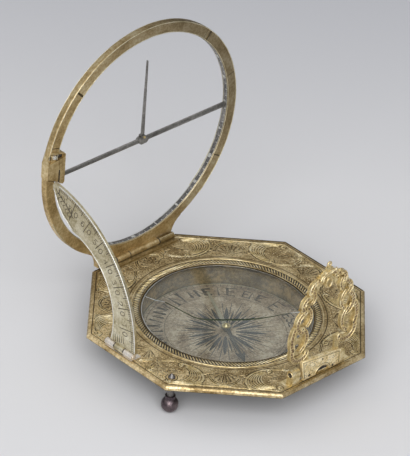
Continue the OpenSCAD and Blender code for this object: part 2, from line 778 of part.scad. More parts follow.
module screw_stem_right() {
  color("slategray") screw_stem(foot_places()[1], 1.7, 1.3);
}

module ball_foot_right() {
  color("saddlebrown") ball_foot(foot_places()[1]);
}

module screw_stem_rear() {
  color("slategray") screw_stem(foot_places()[2], -plate_t - 0.9, 0.3);
}

module ball_foot_rear() {
  color("saddlebrown") ball_foot(foot_places()[2]);
}

base_plate();
compass_box();
compass_dial();
compass_glass();
glass_bezel();
box_screws();
compass_pivot();
compass_needle();
needle_cap();
ring_hinge_leaf();
ring_hinge_pin();
ring_leaf_rivets();
hour_ring();
index_tongue();
tongue_screw();
crossbar();
gnomon_hub();
gnomon();
gnomon_pin();
arc_hinge_leaf();
arc_hinge_pin();
arc_leaf_rivets();
latitude_arc();
bracket_hinge_leaf();
bracket_hinge_pin();
bracket_leaf_rivets();
plumb_bracket();
bracket_foot_plate();
foot_plate_rivets();
plumb_hook();
levelling_bushes();
screw_stem_left();
ball_foot_left();
screw_stem_right();
ball_foot_right();
screw_stem_rear();
ball_foot_rear();
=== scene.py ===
import json
import random
from math import atan2, cos, degrees, hypot, pi, radians, sin, sqrt

import bpy
from mathutils import Matrix, Vector


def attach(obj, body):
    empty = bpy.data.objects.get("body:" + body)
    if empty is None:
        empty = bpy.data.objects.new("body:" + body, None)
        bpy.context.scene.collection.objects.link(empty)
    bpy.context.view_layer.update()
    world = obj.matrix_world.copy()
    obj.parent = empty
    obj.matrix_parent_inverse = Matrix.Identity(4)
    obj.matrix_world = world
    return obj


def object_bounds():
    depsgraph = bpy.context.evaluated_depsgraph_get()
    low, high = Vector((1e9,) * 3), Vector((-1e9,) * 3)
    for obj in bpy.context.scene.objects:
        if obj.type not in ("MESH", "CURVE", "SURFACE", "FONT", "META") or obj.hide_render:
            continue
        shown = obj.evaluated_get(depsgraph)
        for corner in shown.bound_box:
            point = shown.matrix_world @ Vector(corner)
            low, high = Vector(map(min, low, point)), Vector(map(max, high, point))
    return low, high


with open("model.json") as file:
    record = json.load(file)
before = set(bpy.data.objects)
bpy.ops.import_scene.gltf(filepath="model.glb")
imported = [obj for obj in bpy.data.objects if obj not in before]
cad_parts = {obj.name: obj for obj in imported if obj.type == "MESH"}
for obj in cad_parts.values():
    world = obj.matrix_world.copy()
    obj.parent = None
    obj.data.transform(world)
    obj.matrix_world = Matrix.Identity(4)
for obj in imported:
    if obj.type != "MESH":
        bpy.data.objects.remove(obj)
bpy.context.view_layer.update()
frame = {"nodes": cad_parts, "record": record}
mm = 0.001
scene = bpy.context.scene
up, front, rear, west = (0, 0, 1), (0, -1, 0), (0, 1, 0), (-1, 0, 0)  # ways a surface can face


def hexToLinear(code):
    parts = [int(code[i:i + 2], 16) / 255 for i in (1, 3, 5)]
    linear = [c / 12.92 if c <= 0.04045 else ((c + 0.055) / 1.055) ** 2.4 for c in parts]
    return (*linear, 1.0)


def feed(tree, node, inputs):
    # an input takes a value, a socket, or a node whose first output is meant
    for key, value in inputs.items():
        if isinstance(value, bpy.types.Node):
            value = value.outputs[0]
        if isinstance(value, bpy.types.NodeSocket):
            tree.links.new(value, node.inputs[key])
        else:
            node.inputs[key].default_value = value
    return node


def addNode(tree, kind, inputs={}, **settings):
    node = tree.nodes.new(kind)
    for key, value in settings.items():
        setattr(node, key, value)
    return feed(tree, node, inputs)


def newMaterial(name):
    # textures are laid on Object coordinates, in metres
    material = bpy.data.materials.new(name)
    material.use_nodes = True
    tree = material.node_tree
    place = addNode(tree, "ShaderNodeTexCoord").outputs["Object"]
    return material, tree, tree.nodes["Principled BSDF"], place


# Camera, floor and light

cameraLook = {
    "azimuth": -45.98,  # degrees from the plumb bracket's side towards the hour ring's east end
    "elevation": 32.75,
    "roll": 4.64,  # the dial stands a little low on its right in the view
    "distance": 1538.6,  # mm
    "aim": (4.42, 18.92, 34.79),  # mm, the point in the middle of the picture
    "lens": 335.5,
    "sensor": 36.0,
}


def placeCamera(look):
    az, el, roll = (radians(look[key]) for key in ("azimuth", "elevation", "roll"))
    back = Vector((sin(az) * cos(el), -cos(az) * cos(el), sin(el)))
    level = Vector(up).cross(back).normalized()
    right = cos(roll) * level + sin(roll) * back.cross(level)
    turn = Matrix((right, back.cross(right), back)).transposed().to_4x4()
    data = bpy.data.cameras.new("photoCamera")
    data.lens = look["lens"]
    data.sensor_width = look["sensor"]
    data.clip_end = 20
    camera = bpy.data.objects.new("photoCamera", data)
    spot = (Vector(look["aim"]) + back * look["distance"]) * mm
    camera.matrix_world = Matrix.Translation(spot) @ turn
    scene.collection.objects.link(camera)
    scene.camera = camera


placeCamera(cameraLook)
print("camera placed")

studio = {
    "floorZ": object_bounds()[0].z,  # the balls stand on it
    "floorSize": 6.0,
    "floorNear": "#D3D3D5",
    "floorFar": "#BDBEC3",
    "floorAway": (0.719, 0.695, 0.0),  # the way the paper runs off behind the dial
    "floorDepth": (0.11, 0.27),  # m behind the middle, where the paper starts and ends to darken
    "sky": [(0.0, "#12100E"), (0.3, "#565656"), (0.52, "#FFFFFF"), (1.0, "#DCDDE0")],
    "skyStrength": 0.8,
    "keyPower": 19.0,
    "keySize": 1.3,
    "keyPlace": (-0.82, -0.76, 0.74),
    "fillPower": 0.45,
    "fillSize": 0.9,
    "fillPlace": (-1.2, 0.3, 0.6),
}


def buildStudio(look):
    mesh = bpy.data.meshes.new("floor")
    half, z = look["floorSize"] / 2, look["floorZ"]
    corners = [(-half, -half, z), (half, -half, z), (half, half, z), (-half, half, z)]
    mesh.from_pydata(corners, [], [(0, 1, 2, 3)])
    floor = bpy.data.objects.new("floor", mesh)
    scene.collection.objects.link(floor)
    paper, tree, shader, place = newMaterial("matt paper")
    depth = addNode(tree, "ShaderNodeVectorMath", {0: place, 1: look["floorAway"]},
        operation="DOT_PRODUCT")
    near, far = look["floorDepth"]
    fade = addNode(tree, "ShaderNodeMapRange",
        {"Value": depth.outputs["Value"], "From Min": near, "From Max": far})
    tone = addNode(tree, "ShaderNodeValToRGB", {"Fac": fade})
    for stop, key in zip(tone.color_ramp.elements, ("floorNear", "floorFar")):
        stop.color = hexToLinear(look[key])
    feed(tree, shader, {"Base Color": tone, "Roughness": 0.9, "Specular IOR Level": 0.2})
    mesh.materials.append(paper)

    scene.world = bpy.data.worlds.new("studio")
    scene.world.use_nodes = True
    tree = scene.world.node_tree
    tree.nodes.clear()
    place = addNode(tree, "ShaderNodeTexCoord").outputs["Generated"]
    axes = addNode(tree, "ShaderNodeSeparateXYZ", {0: place})
    ramp = addNode(tree, "ShaderNodeValToRGB", {"Fac": axes.outputs["Z"]})
    steps = ramp.color_ramp.elements
    steps[1].position = 1.0
    for height, code in look["sky"][1:-1]:
        steps.new(height).color = hexToLinear(code)
    for step, (height, code) in zip(steps, look["sky"]):
        step.color = hexToLinear(code)
    glow = addNode(tree, "ShaderNodeBackground", {"Color": ramp, "Strength": look["skyStrength"]})
    addNode(tree, "ShaderNodeOutputWorld", {"Surface": glow})

    for name in ("key", "fill"):
        data = bpy.data.lights.new(name, "AREA")
        data.energy = look[name + "Power"]
        data.size = look[name + "Size"]
        lamp = bpy.data.objects.new(name, data)
        lamp.location = Vector(look[name + "Place"])
        lamp.rotation_euler = (-lamp.location).to_track_quat("-Z", "Y").to_euler()
        scene.collection.objects.link(lamp)
    scene.view_settings.view_transform = "Standard"


buildStudio(studio)
print("floor and lights placed")

# Materials


def patinaMetal(name, tones, rough, cloud=4.0, speck=0.5, stops=(0.34, 0.66), bump=0.3,
                metallic=1.0, shine=0.5, drifts=()):
    # tarnished, middle and clean tones mixed by two noises, whose sizes are in mm; rough is the
    # range from clean to tarnished; the finer noise gives the handling marks in the bump
    material, tree, shader, place = newMaterial(name)
    clouds = addNode(tree, "ShaderNodeTexNoise",
        {"Vector": place, "Scale": 1 / (cloud * mm), "Detail": 5.0, "Roughness": 0.62})
    specks = addNode(tree, "ShaderNodeTexNoise",
        {"Vector": place, "Scale": 1 / (speck * mm), "Detail": 3.0, "Roughness": 0.7})
    blend = addNode(tree, "ShaderNodeMix", {"Factor": 0.45, "A": clouds, "B": specks})
    ramp = addNode(tree, "ShaderNodeValToRGB", {"Fac": blend})
    marks = ramp.color_ramp.elements
    marks[0].position, marks[1].position = stops
    marks[0].color, marks[1].color = hexToLinear(tones[0]), hexToLinear(tones[2])
    marks.new(sum(stops) / 2).color = hexToLinear(tones[1])
    colour = ramp.outputs["Color"]
    for axis, start, stop, tint in drifts:  # a tint that grows along one direction, in mm
        along = addNode(tree, "ShaderNodeVectorMath", {0: place, 1: axis}, operation="DOT_PRODUCT")
        fade = addNode(tree, "ShaderNodeMapRange",
            {"Value": along.outputs["Value"], "From Min": start * mm, "From Max": stop * mm})
        tinted = addNode(tree, "ShaderNodeMix", {0: fade, 6: colour, 7: hexToLinear(tint)},
            data_type="RGBA", blend_type="MULTIPLY")
        colour = tinted.outputs[2]
    polish = addNode(tree, "ShaderNodeMapRange",
        {"Value": blend, "From Min": 0.3, "From Max": 0.7, "To Min": rough[1], "To Max": rough[0]})
    relief = addNode(tree, "ShaderNodeBump",
        {"Strength": bump, "Distance": 0.05 * mm, "Height": specks})
    feed(tree, shader, {"Base Color": colour, "Roughness": polish, "Normal": relief,
        "Metallic": metallic, "Specular IOR Level": shine})
    return material


# Fire-gilt brass, engraved and punched: warm gold, browner where the gilding has rubbed off
giltBrass = patinaMetal("fire-gilt engraved brass", ("#7E6944", "#B09B73", "#DCCBA2"), (0.32, 0.52),
    cloud=7.0, speck=0.9, stops=(0.38, 0.6), bump=0.6)
# Cast and chased brass with thick gilding: the brightest, yellowest metal
castGilt = patinaMetal("cast and chased gilt brass", ("#A8925F", "#DCC896", "#F8ECC8"),
    (0.36, 0.52), speck=0.8, stops=(0.36, 0.6), bump=0.5)
# Turned brass left bare for long: olive brown with brighter rubbed places
bareBrass = patinaMetal("turned brass with brown patina", ("#6E5A34", "#97835A", "#C4B288"),
    (0.34, 0.5), cloud=10.0, speck=1.1, stops=(0.36, 0.64), metallic=0.85)
# The plate's gilding, lighter along its left edge under the arc; its underside is bare brass,
# multiplied nearly to black brown as painted shade
plateBrass = patinaMetal("fire-gilt plate with a bare, painted-shade underside", ("#927A50", "#CCB484", "#FCE8BA"),
    (0.42, 0.6), cloud=7.0, speck=0.9, stops=(0.38, 0.6), bump=0.6,
    drifts=[((0, 0, -1), -8.7, -8.5, "#3A3026"), ((1, 0, 0), -46, -28, "#DADADA")])
# Box turned from sheet brass and never gilt: dull olive inside and out. Its drift darkens it to
# blue-grey towards the front left: a painted reflection, the glass's blue sheen over the wall
boxBrass = patinaMetal("turned brass box with a painted reflection", ("#54452A", "#826E46", "#BCA06C"), (0.42, 0.58),
    cloud=10.0, speck=1.4, stops=(0.38, 0.62), metallic=0.6,
    drifts=[((-0.9, -0.4, 0), 2, 26, "#9AAAB8")])
# The hour ring: a painted reflection, golden low on the left where it faces the lit floor and
# plate, darkened to blue-grey towards the top right
ringBrass = patinaMetal("turned brass ring with a painted reflection", ("#967E50", "#C4AA78", "#E2D0A4"),
    (0.38, 0.54), cloud=8.0, speck=1.1, stops=(0.36, 0.62), metallic=0.8,
    drifts=[((0.8, 0, 0.6), -5, 75, "#ACB0BA")])
# Silver rubbed on filed brass: pale straw that shows yellow where it has worn thin
rubSilver = {"tones": ("#A19674", "#D0C6A6", "#EDE7D0"), "rough": (0.36, 0.5), "cloud": 7.0,
    "speck": 0.7, "stops": (0.36, 0.6)}
silveredBrass = patinaMetal("rub-silvered brass", **rubSilver)
# The same on the arc, darker towards its tip
arcSilver = patinaMetal("rub-silvered brass darker at the tip", **rubSilver,
    drifts=[((0, 0, 1), 36, 58, "#E2DED6")])
# Silvering inside the ring: tarnished slate blue, and darkened further as painted shade, for the
# inner wall lies in shade
slateSilver = patinaMetal("silvering tarnished to slate, with painted shade", ("#3E3E3E", "#6E6C6A", "#A8A49E"),
    (0.36, 0.5), cloud=9.0, speck=0.7, stops=(0.36, 0.64), metallic=0.7)
# Fresh cuts through the tarnish show the white metal; the same white also paints highlights on
# edges
brightSilverAndHighlight = patinaMetal("bright cut silver and painted highlight", ("#B4B4AE", "#D8D8D2", "#F4F4F0"), (0.3, 0.45),
    cloud=3.0, stops=(0.34, 0.62), bump=0.2, metallic=0.7)
# Silvered dial under glass: warm grey, spotted by damp
silveredDial = patinaMetal("silvered dial gone grey", ("#786354", "#AA9785", "#D8C8B8"),
    (0.45, 0.6), cloud=6.0, speck=0.9, stops=(0.38, 0.6), bump=0.5, metallic=0.35)
# Filed steel, unpolished: neutral grey with darker spots of old rust
filedSteel = patinaMetal("filed steel", ("#5A5854", "#84827E", "#ACAAA6"), (0.32, 0.46), cloud=6.0,
    metallic=0.85)
# Needle steel: its arrow is heat-blued, the thin oxide giving slate blue, and its tail left bright
bluedSteel = patinaMetal("heat-blued steel", ("#8E8A80", "#ACA698", "#C8C2B4"), (0.34, 0.46),
    cloud=6.0, speck=0.6, bump=0.15, metallic=0.7, drifts=[((-0.446, -0.895, 0), -1, 2, "#6A7284")])
# Turned steel browned by age: dark with a plum cast and clear highlights
brownedSteel = patinaMetal("browned turned steel", ("#3E363B", "#625659", "#8E7F7B"), (0.26, 0.4),
    cloud=3.0, speck=0.4, bump=0.2, metallic=0.85)
# The screws' stems: blue-grey steel, scuffed where they turn in the plate
scuffedSteel = patinaMetal("scuffed screw steel", ("#4A484E", "#74716F", "#A8A098"), (0.32, 0.46),
    cloud=3.0, speck=0.4, bump=0.25, metallic=0.85)
# Solder and silver worn pale on the arc's knuckles
paleKnuckle = patinaMetal("tinned brass knuckle", ("#BFB2A2", "#E0D8CC", "#F6F1EA"), (0.34, 0.5),
    cloud=3.0, stops=(0.34, 0.62), metallic=0.75)
# Cut lines hold old polish and dirt: dark and dull
engravedLine = patinaMetal("dirt in engraved lines", ("#2C2316", "#443820", "#6A5A36"), (0.5, 0.7),
    bump=0.2, metallic=0.6)
# The floor between chased scrolls: gold gone pinkish brown
chasedGround = patinaMetal("chased gilding with dirt", ("#55432F", "#806A4C", "#AE966E"),
    (0.5, 0.65), cloud=2.5, stops=(0.34, 0.64), bump=0.5, metallic=0.5)
# Dark wax thinned by rubbing, in the scale of the arc
rubbedWax = patinaMetal("rubbed wax filling", ("#38332A", "#585040", "#827860"), (0.5, 0.65),
    bump=0.1, metallic=0.2, shine=0.3)
# The arch under its bright scrolls: the same gilding, browner where no cloth reaches
archGilt = patinaMetal("cast gilding with dirt in its hollows", ("#857450", "#BCA878", "#E6D8AA"),
    (0.42, 0.6), cloud=3.0, speck=0.6, stops=(0.34, 0.64), bump=0.5, metallic=0.7)
# Wiped often: the palest gilding
footGilt = patinaMetal("sheet brass gilt and wiped bright", ("#B89E6A", "#E6D09A", "#FFF2CE"),
    (0.36, 0.5), cloud=3.0, speck=0.6, stops=(0.32, 0.6), bump=0.4, metallic=0.85)
# Black wax in the figures of the silvered pieces; the same black also paints shade in hollows, gaps
# and under parts
blackWaxAndShade = patinaMetal("black wax filling and painted shade", ("#211E1C", "#35312E", "#4A4642"), (0.5, 0.65),
    bump=0.1, metallic=0.0, shine=0.2)


def windowGlass(name):
    # hand-made flat glass: clear, with slow waves, and a film of dust that lies in patches
    material, tree, film, place = newMaterial(name)
    wave = addNode(tree, "ShaderNodeTexNoise",
        {"Vector": place, "Scale": 1 / (16 * mm), "Detail": 1.0})
    bump = addNode(tree, "ShaderNodeBump", {"Strength": 0.12, "Distance": 0.2 * mm, "Height": wave})
    feed(tree, film,
        {"Base Color": hexToLinear("#D8D8D2"), "Metallic": 0.7, "Roughness": 0.08, "Normal": bump})
    facing = addNode(tree, "ShaderNodeLayerWeight", {"Blend": 0.5, "Normal": bump})
    edge = addNode(tree, "ShaderNodeMath", {0: facing.outputs["Facing"], 1: 4.0}, operation="POWER")
    mirror = addNode(tree, "ShaderNodeMath", {0: edge, 1: 0.03}, operation="ADD")
    dust = addNode(tree, "ShaderNodeTexNoise",
        {"Vector": place, "Scale": 1 / (7 * mm), "Detail": 6.0, "Roughness": 0.65})
    patches = addNode(tree, "ShaderNodeMapRange",
        {"Value": dust, "From Min": 0.4, "From Max": 0.75, "To Min": 0.01, "To Max": 0.07})
    share = addNode(tree, "ShaderNodeMath", {0: mirror, 1: patches}, operation="ADD")
    clear = addNode(tree, "ShaderNodeBsdfTransparent", {"Color": hexToLinear("#F6F8F5")})
    both = addNode(tree, "ShaderNodeMixShader", {0: share, 1: clear, 2: film})
    feed(tree, tree.nodes["Material Output"], {"Surface": both})
    return material


oldGlass = windowGlass("old crown glass")

finishes = {
    "gilt_plate": giltBrass, "worn_brass": bareBrass, "bright_gilt": castGilt,
    "silvered_brass": silveredBrass, "silvered_dial": silveredDial, "steel": filedSteel,
    "blued_steel": bluedSteel, "brown_steel": brownedSteel, "old_glass": oldGlass,
}
ownFinish = {  # parts whose surface has aged otherwise than the rest of their slot
    "screw_stem_left": scuffedSteel, "screw_stem_right": scuffedSteel,
    "screw_stem_rear": scuffedSteel, "arc_hinge_leaf": paleKnuckle, "arc_hinge_pin": paleKnuckle,
    "tongue_screw": brightSilverAndHighlight, "base_plate": plateBrass, "compass_box": boxBrass,
    "hour_ring": ringBrass, "latitude_arc": arcSilver, "index_tongue": ringBrass,
    "plumb_bracket": archGilt, "bracket_foot_plate": footGilt,
}
for part in frame["record"]["subparts"]:
    mesh = frame["nodes"][part["node"]].data
    mesh.materials.clear()
    mesh.materials.append(ownFinish.get(part["node"], finishes[part["material_slot"]]))
print("materials assigned")

# Tools for engraving: strokes are polylines in mm that a Geometry Nodes tree sweeps into metal


def newTree(name, wanted):
    # wanted gives each input's kind and first value
    tree = bpy.data.node_groups.new(name, "GeometryNodeTree")
    sockets = {"Geometry": ("Geometry", None), **wanted, "Material": ("Material", None)}
    for label, (kind, value) in sockets.items():
        socket = tree.interface.new_socket(label, in_out="INPUT", socket_type="NodeSocket" + kind)
        if value is not None:
            socket.default_value = value
    tree.interface.new_socket("Geometry", in_out="OUTPUT", socket_type="NodeSocketGeometry")
    return tree, tree.nodes.new("NodeGroupInput").outputs


def endTree(tree, start, geometry):
    real = addNode(tree, "GeometryNodeRealizeInstances", {"Geometry": geometry})
    dressed = addNode(tree, "GeometryNodeSetMaterial",
        {"Geometry": real, "Material": start["Material"]})
    addNode(tree, "NodeGroupOutput", {0: dressed})
    return tree


def endTurned(tree, start, points, instance, angle):
    # one copy on each point, turned about z and lifted to Level
    euler = addNode(tree, "ShaderNodeCombineXYZ", {"Z": angle})
    spin = addNode(tree, "FunctionNodeEulerToRotation", {0: euler})
    copies = addNode(tree, "GeometryNodeInstanceOnPoints",
        {"Points": points, "Instance": instance, "Rotation": spin})
    lift = addNode(tree, "ShaderNodeCombineXYZ", {"Z": start["Level"]})
    raised = addNode(tree, "GeometryNodeTransform", {"Geometry": copies, "Translation": lift})
    return endTree(tree, start, raised)


def newObject(name, points, edges=(), faces=()):
    mesh = bpy.data.meshes.new(name)
    mesh.from_pydata([Vector(p) * mm for p in points], edges, faces)
    return bpy.data.objects.new(name, mesh)


def growPiece(name, place, host, tree, settings):
    # place is the body that carries the piece and the slot of its finish; the slot is not used
    maker = host.modifiers.new("maker", "NODES")
    maker.node_group = tree
    sockets = {item.name: item.identifier for item in tree.interface.items_tree
               if item.in_out == "INPUT"}
    for label, value in settings.items():
        maker[sockets[label]] = value
    scene.collection.objects.link(host)
    bpy.context.view_layer.update()
    graph = bpy.context.evaluated_depsgraph_get()
    mesh = bpy.data.meshes.new_from_object(host.evaluated_get(graph), depsgraph=graph)
    kept = ("material_index", "sharp_face", "sharp_edge")
    for label in [item.name for item in mesh.attributes if not item.is_required
                  and not item.name.startswith(".") and item.name not in kept]:
        mesh.attributes.remove(mesh.attributes[label])
    bpy.data.objects.remove(host)
    piece = bpy.data.objects.new(name, mesh)
    mesh.name = name
    scene.collection.objects.link(piece)
    body, slotName = place
    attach(piece, body)
    print("  ", name, len(mesh.polygons), "faces")


def strokeTree():
    # sweeps each edge path: "thick" scales the section, "facing" turns it to the surface
    tree, start = newTree("engraver", {"Width": ("Float", 0.3 * mm), "Height": ("Float", 0.05 * mm),
        "Side Shift": ("Float", 0.0), "Sides": ("Int", 4)})
    facing = addNode(tree, "GeometryNodeInputNamedAttribute", {"Name": "facing"},
        data_type="FLOAT_VECTOR").outputs["Attribute"]
    thick = addNode(tree, "GeometryNodeInputNamedAttribute", {"Name": "thick"},
        data_type="FLOAT").outputs["Attribute"]
    path = addNode(tree, "GeometryNodeMeshToCurve", {"Mesh": start["Geometry"]})
    along = addNode(tree, "GeometryNodeInputTangent")
    side = addNode(tree, "ShaderNodeVectorMath", {0: facing, 1: along}, operation="CROSS_PRODUCT")
    shift = addNode(tree, "ShaderNodeVectorMath", {0: side, "Scale": start["Side Shift"]},
        operation="SCALE")
    moved = addNode(tree, "GeometryNodeSetPosition", {"Geometry": path, "Offset": shift})
    turned = addNode(tree, "GeometryNodeSetCurveNormal", {"Curve": moved, "Normal": facing},
        mode="FREE")
    ring = addNode(tree, "GeometryNodeCurvePrimitiveCircle",
        {"Resolution": start["Sides"], "Radius": 0.5})
    size = addNode(tree, "ShaderNodeCombineXYZ", {"X": start["Height"], "Y": start["Width"]})
    section = addNode(tree, "GeometryNodeTransform", {"Geometry": ring, "Scale": size})
    swept = addNode(tree, "GeometryNodeCurveToMesh",
        {"Curve": turned, "Profile Curve": section, "Scale": thick, "Fill Caps": True})
    return endTree(tree, start, swept)


engraver = strokeTree()


def engrave(name, place, strokes, width, height, material, shift=0.0, sides=4):
    # a stroke is (points in mm, thickness at each point or one number, facing or facings)
    points, edges, thicks, facings = [], [], [], []
    for path, thick, facing in strokes:
        first = len(points)
        points += path
        edges += [(first + i, first + i + 1) for i in range(len(path) - 1)]
        thicks += thick if isinstance(thick, list) else [thick] * len(path)
        facings += facing if isinstance(facing, list) else [facing] * len(path)
    host = newObject("strokes", points, edges)
    host.data.attributes.new("thick", "FLOAT", "POINT").data.foreach_set("value", thicks)
    host.data.attributes.new("facing", "FLOAT_VECTOR", "POINT").data.foreach_set(
        "vector", [c for vector in facings for c in vector])
    growPiece(name, place, host, engraver, {
        "Width": width * mm, "Height": height * mm, "Side Shift": shift * mm, "Sides": sides,
        "Material": material})


def polar(x, y, r, a):
    return x + r * cos(a), y + r * sin(a)


def bow(centre, radii, start, stop, count):
    # points of an ellipse's arc, angles in degrees
    rx, ry = radii if isinstance(radii, tuple) else (radii, radii)
    steps = [radians(start + (stop - start) * i / (count - 1)) for i in range(count)]
    return [(centre[0] + rx * cos(a), centre[1] + ry * sin(a)) for a in steps]


def curl(centre, radius, start, turns, count, shrink=0.25):
    # a spiral that winds inwards
    steps = [i / (count - 1) for i in range(count)]
    return [polar(*centre, radius * (1 - (1 - shrink) * f),
        radians(start) + turns * 2 * pi * f) for f in steps]


def swell(count, full, ends=0.25):
    # thin at both ends, full in the middle
    return [ends + (full - ends) * max(0, sin(pi * i / (count - 1))) ** 0.7 for i in range(count)]


def flat(path, z):
    return [(x, y, z) for x, y in path]


def upright(path, y):
    return [(x, y, z) for x, z in path]


def hoop(radius, z, thick, count=121, start=0, stop=360):
    # a level stroke round the dial's middle
    return flat(bow((0, 0), radius, start, stop, count), z), thick, up


def faced(spots, thick):
    # a stroke from pairs of a spot and its facing
    return [spot for spot, _ in spots], thick, [facing for _, facing in spots]


def barrelLine(middle, start, stop, count, along, axis, radius=1.2):
    # a stroke round a hinge barrel that lies along x or y
    path = bow(middle, radius, start, stop, count)
    outward = [((u - middle[0]) / radius, (v - middle[1]) / radius) for u, v in path]
    if axis == "x":
        return [(along, u, v) for u, v in path], 1.0, [(0, u, v) for u, v in outward]
    return upright(path, along), 1.0, upright(outward, 0)


# Plate engraving

onPlate = ("base", "gilt_plate")
plateLook = {
    "top": 10.0,  # mm, the plate's upper face
    "lineWidth": 0.38,  # real cuts are 0.15 to 0.25 mm; drawn wider so that they show
    "ridgeWidth": 0.34,
    "oval": 44.3,  # distance of the corner ovals from the middle
    "band": (36.9, 47.9),  # the ground free for ornament, from the bezel's foot to the border
    "leaves": [(-19, 19, 44.9, 60), (-60, -43.5, -2.2, 12.8), (-16.2, 15.4, -60, -42.9)],
    "screws": (44.2, -17.7),  # x on both sides, and y
    "border": [("cuts", 48.35, 0.9), ("ridges", 47.8, 0.8)],
    "bezelLines": (("cuts", 34.9, 1.0), ("ridges", 35.3, 1.4), ("cuts", 36.4, 0.9)),
    "farEdge": 49.3,  # distance of the dark line along the three far sides
    "seed": 5,
}


def acanthus(stem, spread, drawn):
    # a running leaf: domed lobes on both sides of its stem, each with a cut vein
    last = len(stem) - 1
    for i in range(last):
        x, y = stem[i]
        dx, dy = stem[i + 1][0] - x, stem[i + 1][1] - y
        step = hypot(dx, dy)
        dx, dy = dx / step, dy / step
        reach = spread * (0.55 + 0.45 * sin(pi * (i + 0.6) / last))
        for side in (-1, 1):
            lobe = [(x + reach * (ahead * dx - side * out * dy),
                     y + reach * (ahead * dy + side * out * dx))
                    for ahead, out in ((0.0, 0.05), (0.2, 0.45), (0.6, 0.8), (1.05, 0.95))]
            drawn["lobes"].append((lobe, [0.5, 1.0, 0.85, 0.3]))
            drawn["cuts"].append((lobe[:3], [0.5, 0.8, 0.3]))
            drawn["cuts"].append(
                ([(px - 0.45 * dx, py - 0.45 * dy) for px, py in lobe[1:]], [0.5, 0.9, 0.5]))
    drawn["cuts"].append((stem, swell(len(stem), 1.2)))


def cutAndRidge(drawn, line, cut, ridge):
    drawn["cuts"].append((line, swell(len(line), *cut)))
    drawn["ridges"].append((line, swell(len(line), *ridge)))


def cornerOrnament(drawn, look=plateLook):
    # drawn at an octagon corner: x runs along the rim, y outwards from the dial's centre
    y = look["oval"]
    for k in range(6):  # crescent of nested cuts that meet at its horns
        cutAndRidge(drawn, bow((0.2, y), (9.1 - 0.98 * k, 5.9 - 0.26 * k), -86 + k, 86 - k, 19),
                    (1.3, 0.6), (1.5, 0.5))
    drawn["bold"].append((bow((0.2, y), (9.7, 6.5), -100, 40, 23), swell(23, 1.0, 0.35)))
    drawn["cuts"].append((bow((0.2, y), (10.2, 7.1), -110, 30, 23), swell(23, 1.4, 0.5)))
    for k, ry in enumerate((6.6, 6.0)):  # the oval's other half, a double line
        cutAndRidge(drawn, bow((-0.4, y), (9.6 - 0.8 * k, ry), 92, 262, 21), (1.0, 0.5), (0.9, 0.4))
    for side in (-1, 1):  # small scrolls at the horns
        horn = (-0.6, y + side * 5.3)
        drawn["cuts"].append((curl(horn, 1.6, side * 50, side * 1.3, 14), 1.3))
        drawn["bold"].append((curl(horn, 1.25, side * 50, side * 1.2, 12), 0.6))
    acanthus([(-8.2 + 1.25 * i, y + 1.5 * sin(0.75 * i)) for i in range(8)], 2.5, drawn)


def sideOrnament(drawn):
    # drawn at the middle of a side: a shell between two running leaves and their scrolls
    foot = (0, 38.2)
    for k in range(7):  # shell
        a = radians(90 + (k - 3) * 21)
        tip = (4.9 * cos(a), foot[1] + 7.0 * sin(a))
        mid = (tip[0] * 0.62, foot[1] + (tip[1] - foot[1]) * 0.55)
        drawn["lobes"].append(([foot, mid, tip], [0.25, 0.75, 0.7]))
    for k in range(8):
        a = radians(90 + (k - 3.5) * 21)
        drawn["cuts"].append(([foot, (4.6 * cos(a), foot[1] + 6.7 * sin(a))], [0.4, 1.2]))
    for k, wide in enumerate((5.6, 6.3)):
        cutAndRidge(drawn, bow((0, foot[1] + 0.4), (wide, 7.4 + 0.7 * k), 8, 172, 21),
                    (1.2, 0.5), (1.1, 0.4))
    for side in (-1, 1):
        stem = [(side * (5.2 + 0.95 * i), 39.6 + 3.4 * sin(i / 9 * 2.6)) for i in range(9)]
        acanthus(stem, 2.3, drawn)
        for k in range(4):
            cutAndRidge(drawn, bow((side * 9.0, 45.6), 1.2 + 0.62 * k, 90 - side * 95,
                90 + side * (80 - 14 * k), 14), (1.1, 0.5), (0.9, 0.4))
        drawn["bold"].append((curl((side * 9.0, 45.6), 1.0, 90, side * 1.1, 10), 0.7))


def keepClear(x, y, look=plateLook):
    # hinge leaves, screws and the turned bezel stay free of the ornament
    inner, outer = look["band"]
    if hypot(x, y) < inner or max(abs(x), abs(y), (abs(x) + abs(y)) / sqrt(2)) > outer:
        return False
    if any(x0 < x < x1 and y0 < y < y1 for x0, x1, y0, y1 in look["leaves"]):
        return False
    return hypot(abs(x) - look["screws"][0], y - look["screws"][1]) > 1.9


def clearRuns(spots, thick):
    # the stretches of a stroke that lie on free ground
    sizes = thick if isinstance(thick, list) else [thick] * len(spots)
    runs, run = [], []
    for spot, size in [*zip(spots, sizes), (None, 0)]:
        if spot and keepClear(spot[0], spot[1]):
            run.append((spot, size))
            continue
        if len(run) > 1:
            runs.append(([s for s, _ in run], [t for _, t in run]))
        run = []
    return runs


